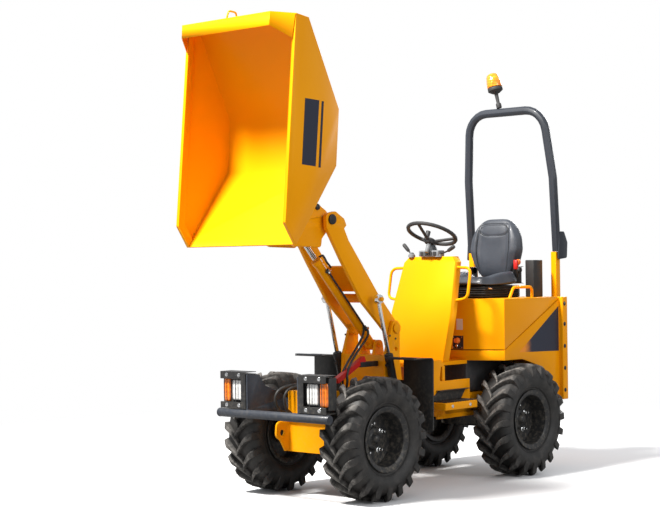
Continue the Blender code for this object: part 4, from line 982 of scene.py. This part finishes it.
def seat_back():
    """Front and rear rings of the back, from the rim in to the middle."""
    rim_line = back_outline()
    middle = np.array([0.0, BACK_MID_Z])
    shares = 1 - np.linspace(0.0, 1.0, 44) ** 1.25
    shares = shares[shares > 0.012]
    front, rear = [], []
    for share in shares:
        ring = middle + (rim_line - middle) * share
        lean = BACK_LEAN * (ring[:, 1] - BACK_MID_Z)
        depth = back_depth(ring[:, 0], ring[:, 1], share)
        depth = depth + 0.020 * np.sqrt(np.clip(1 - share**8, 0, 1))
        thick = 0.038 * np.sqrt(np.clip(1 - share**10, 0, 1)) + 0.006 * (1 - share**2)
        y = AXLE_Y + BACK_MID_Y + lean
        front.append(np.stack([ring[:, 0], y - 0.010 - depth, ring[:, 1]], -1))
        rear.append(np.stack([ring[:, 0], y - 0.004 + thick, ring[:, 1]], -1))
    grid = np.stack(rear[::-1] + front)
    piece = put("seat_back_pad", [surface(grid)], SEAT, "cover", 70.0, ["seat_back"])
    return piece


def cushion_depth(u, v, rim):
    """Height of the cushion's top: dished in the middle, raised sides, rolled front.
    u runs -1 to 1 across, v 0 at the front to 1 at the back."""
    side = 0.040 * smooth(np.abs(u), 0.52, 0.82) * (0.35 + 0.65 * smooth(v, 0.0, 0.55))
    front = 0.010 * (1 - smooth(v, 0.0, 0.25))
    groove = -0.005 * np.exp(-(((np.abs(u) - 0.60) / 0.030) ** 2))
    cross = -0.004 * np.exp(-(((v - 0.42) / 0.018) ** 2)) * (1 - smooth(np.abs(u), 0.50, 0.62))
    dish = (side + front + groove + cross) * (1 - smooth(rim, 0.90, 1.0))
    return dish + 0.026 * np.sqrt(np.clip(1 - rim**7, 0, 1))


def seat_cushion():
    """Rings of the cushion's top and underside, from the rim in to the middle."""
    a = np.linspace(0, 2 * np.pi, 128, endpoint=False)
    c, s = np.cos(a), np.sin(a)
    half, front_y, rear_y = 0.226, 1.252, 1.640
    x = half * np.sign(c) * np.abs(c) ** 0.36
    y = (front_y + rear_y) / 2 + (rear_y - front_y) / 2 * np.sign(s) * np.abs(s) ** 0.42
    rim_line = np.stack([x, y], -1)
    middle = np.array([0.0, (front_y + rear_y) / 2])
    shares = 1 - np.linspace(0.0, 1.0, 44) ** 1.25
    shares = shares[shares > 0.012]
    top, under = [], []
    for share in shares:
        ring = middle + (rim_line - middle) * share
        u, v = ring[:, 0] / half, (ring[:, 1] - front_y) / (rear_y - front_y)
        base = 1.190 + 0.012 * smooth(v, 0.3, 1.0) - 0.010 * smooth(np.abs(u), 0.5, 1.0) * (1 - v)
        top.append(np.stack([ring[:, 0], ring[:, 1] + AXLE_Y, base + cushion_depth(u, v, share)], -1))
        drop = base - (base - CUSHION_LOW) * np.sqrt(np.clip(1 - share**9, 0, 1))
        under.append(np.stack([ring[:, 0], ring[:, 1] + AXLE_Y, drop], -1))
    grid = np.stack(under[::-1] + top)
    piece = put("seat_cushion_pad", [surface(grid)], SEAT, "cover", 70.0, ["seat_cushion"])
    return piece


seat_back()
seat_cushion()
print("seat padded")

# %% Seat seams, recliners, belt and suspension
def back_seam(name, points):
    """Thread laid on the front of the back through a few places (X, Z)."""
    x, z = curve(points, 70).T
    y = AXLE_Y + BACK_MID_Y + BACK_LEAN * (z - BACK_MID_Z) - 0.030 - back_depth(x, z, np.full(len(x), 0.5))
    thread = swept(np.stack([x, y, z], -1), circle(0.0016, 8), up=(0, 1, 0))
    return put(name, [thread], SEAM, "cover", 60.0)


back_seam("head_panel_seam", [
    (-0.108, 1.513), (-0.112, 1.540), (-0.085, 1.562), (0.0, 1.567), (0.085, 1.562), (0.112, 1.540),
    (0.108, 1.513), (0.070, 1.492), (0.0, 1.489), (-0.070, 1.492), (-0.107, 1.512),
])
BOLSTER_SEAM = [(0.104, 1.235), (0.116, 1.300), (0.1265, 1.380), (0.1255, 1.450),
                (0.118, 1.520), (0.100, 1.560)]
RECLINER = [(0, 0.013), (0.014, 0.012), (0.020, 0.007), (0.021, 0.0), (0.021, -0.016), (0, -0.016)]
BELT_REEL = [(0, 0.012), (0.012, 0.011), (0.0175, 0.006), (0.0175, -0.006), (0.012, -0.010), (0, -0.010)]
for side, s in (("left", 1.0), ("right", -1.0)):
    back_seam("bolster_seam_" + side, [(s * x, z) for x, z in BOLSTER_SEAM])
    put("recliner_" + side, [turned(RECLINER, at(s * 0.186, 1.665, 1.268), (s, 0, 0), 24)], PLASTIC, "cover")
    arm = rounded_box(*sided(s, (0.170, 1.610, 1.180), (0.182, 1.700, 1.290)), 0.008)
    put("recliner_plate_" + side, [arm], BLACK, "cover")
buckle = rounded_box(at(0.1915, 1.590, 1.272), at(0.2195, 1.610, 1.332), 0.006)
put("belt_buckle", [buckle], RED, "cover", 50.0)
stalk = curve([at(0.190, 1.640, 1.225), at(0.202, 1.620, 1.245), at(0.2055, 1.603, 1.274)], 16)
put("belt_stalk", [swept(stalk, circle(0.0055, 10), up=(1, 0, 0))], PLASTIC, "cover", 60.0)
put("belt_reel", [turned(BELT_REEL, at(0.2055, 1.628, 1.318), (1, 0, 0), 22)], ORANGE, "cover", 50.0)
folds = []
FOLD_LOW, FOLD_PITCH, FOLD_HEIGHT = 1.1015, 0.0138, 0.0115
for k in range(5):
    z = FOLD_LOW + FOLD_PITCH * k
    grow = 0.010 if k % 2 else 0.0055
    low, high = at(-0.192 - grow, 1.280 - grow, z), at(0.192 + grow, 1.655, z + FOLD_HEIGHT)
    folds.append(rounded_box(low, high, 0.010, 4))
put("suspension_bellows", folds, HOSE, "cover", 50.0)
lever = curve([at(0.202, 1.330, 1.150), at(0.222, 1.318, 1.153), at(0.226, 1.280, 1.157)], 14)
put("seat_slide_lever", [swept(lever, circle(0.005, 10))], ZINC, "cover", 60.0)
print("seat fitted")
# %% [markdown]
# ## The beacon
#
# The beacon's dome is pressed with flutes about its axis and bands round it.
# Painted shade in their grooves and painted highlight on their crowns make it
# shine in small upright cells.

# %% Beacon finish
def beacon_finish():
    """Amber with painted shade between the flutes and bands and painted highlight on them, faintly lit from
    inside.
    """
    f = Finish("amber_beacon")
    x, y, z = f.axes()
    turn = (y - (AXLE_Y + 1.7)).math("ARCTAN2", x + 0.105)
    flute = (turn * 26.0).math("SINE") * 0.5 + 0.5
    band = (z * 340.0).math("SINE") * 0.5 + 0.5
    cloud = f.noise(60.0, 3.0)
    # Painted shade and highlight: the amber goes deeper in the grooves and paler on the crowns.
    tone = (flute * 0.5 + band * 0.3 + cloud * 0.3).clamp()
    amber = f.blend(tone, (0.62, 0.10, 0.004), (1.0, 0.36, 0.015))
    return f.surface(
        Base_Color=amber, Roughness=(0.12 + cloud * 0.10).clamp(), Coat_Weight=0.8,
        Coat_Roughness=0.04, Emission_Color=amber, Emission_Strength=0.20,
        Normal=f.bump(flute + band * 0.5, 0.0016, 0.6),
    )


frame["nodes"]["beacon_dome"].data.materials[0] = beacon_finish()
print("beacon finished")

# %% [markdown]
# ## Studio
#
# One strong key light stands ahead of the machine, high and a little to its
# right: faces turned to it go bright yellow, and the machine's left side falls
# to the paint's own deep orange.  An even pale surround fills the dark parts.
# The floor takes the contact shadow and is otherwise as white as the
# background; to bounced light it is grey, so it doesn't wash the side out.

# %% Floor
def studio_floor():
    """White to the camera, grey to bounced light, plain background further out."""
    f = Finish("studio_floor")
    path = f.tree.nodes.new("ShaderNodeLightPath")
    x, y, _ = f.axes()
    far = (x * x + (y - 0.6) * (y - 0.6)).math("SQRT").step(2.6, 5.0)
    white = f.node("ShaderNodeBsdfDiffuse", {"Color": (0.80, 0.80, 0.81)})
    grey = f.node("ShaderNodeBsdfDiffuse", {"Color": (0.26, 0.26, 0.26)})
    glow = f.node("ShaderNodeEmission", {"Color": (1.0, 1.0, 1.0), "Strength": 1.0})
    near = f.node("ShaderNodeMixShader", {0: far, 1: white, 2: glow})
    camera_ray = Field(f, path.outputs["Is Camera Ray"])
    seen = f.node("ShaderNodeMixShader", {0: camera_ray, 1: grey, 2: near})
    f.tree.links.new(seen.socket, f.out.inputs["Surface"])
    return f.material


floor_mesh = bpy.data.meshes.new("floor")
floor_mesh.from_pydata([(-40, -40, 0), (40, -40, 0), (40, 40, 0), (-40, 40, 0)], [], [(0, 1, 2, 3)])
floor_mesh.materials.append(studio_floor())
floor = bpy.data.objects.new("floor", floor_mesh)
bpy.context.scene.collection.objects.link(floor)
print("floor laid")

# %% World and lamps
world = bpy.data.worlds.new("studio")
bpy.context.scene.world = world
world.use_nodes = True
tree = world.node_tree
tree.nodes.clear()
world_out = tree.nodes.new("ShaderNodeOutputWorld")
light_path = tree.nodes.new("ShaderNodeLightPath")
soft = tree.nodes.new("ShaderNodeBackground")
soft.inputs["Color"].default_value = (0.95, 0.97, 1.0, 1.0)
soft.inputs["Strength"].default_value = 0.62
white = tree.nodes.new("ShaderNodeBackground")
white.inputs["Color"].default_value = (1.0, 1.0, 1.0, 1.0)
mix = tree.nodes.new("ShaderNodeMixShader")
tree.links.new(light_path.outputs["Is Camera Ray"], mix.inputs[0])
tree.links.new(soft.outputs[0], mix.inputs[1])
tree.links.new(white.outputs[0], mix.inputs[2])
tree.links.new(mix.outputs[0], world_out.inputs["Surface"])


def lamp(name, place, aim, size, power, colour=(1.0, 1.0, 1.0)):
    """A round soft light at a place, turned to face its aim."""
    light = bpy.data.lights.new(name, "AREA")
    light.shape = "DISK"
    light.size = size
    light.energy = power
    light.color = colour
    holder = bpy.data.objects.new(name, light)
    holder.location = place
    holder.rotation_euler = (Vector(aim) - Vector(place)).to_track_quat("-Z", "Y").to_euler()
    bpy.context.scene.collection.objects.link(holder)


lamp("key", (-1.1, -4.8, 7.5), (0.0, 0.1, 1.0), 1.6, 1950.0, (1.0, 0.98, 0.94))
lamp("fill", (7.5, 0.5, 3.5), (0.0, 0.2, 1.0), 4.0, 170.0)
lamp("back", (-2.0, 7.5, 4.0), (0.0, 0.4, 1.2), 3.0, 240.0)
bpy.context.scene.view_settings.view_transform = "Standard"
print("studio lit")
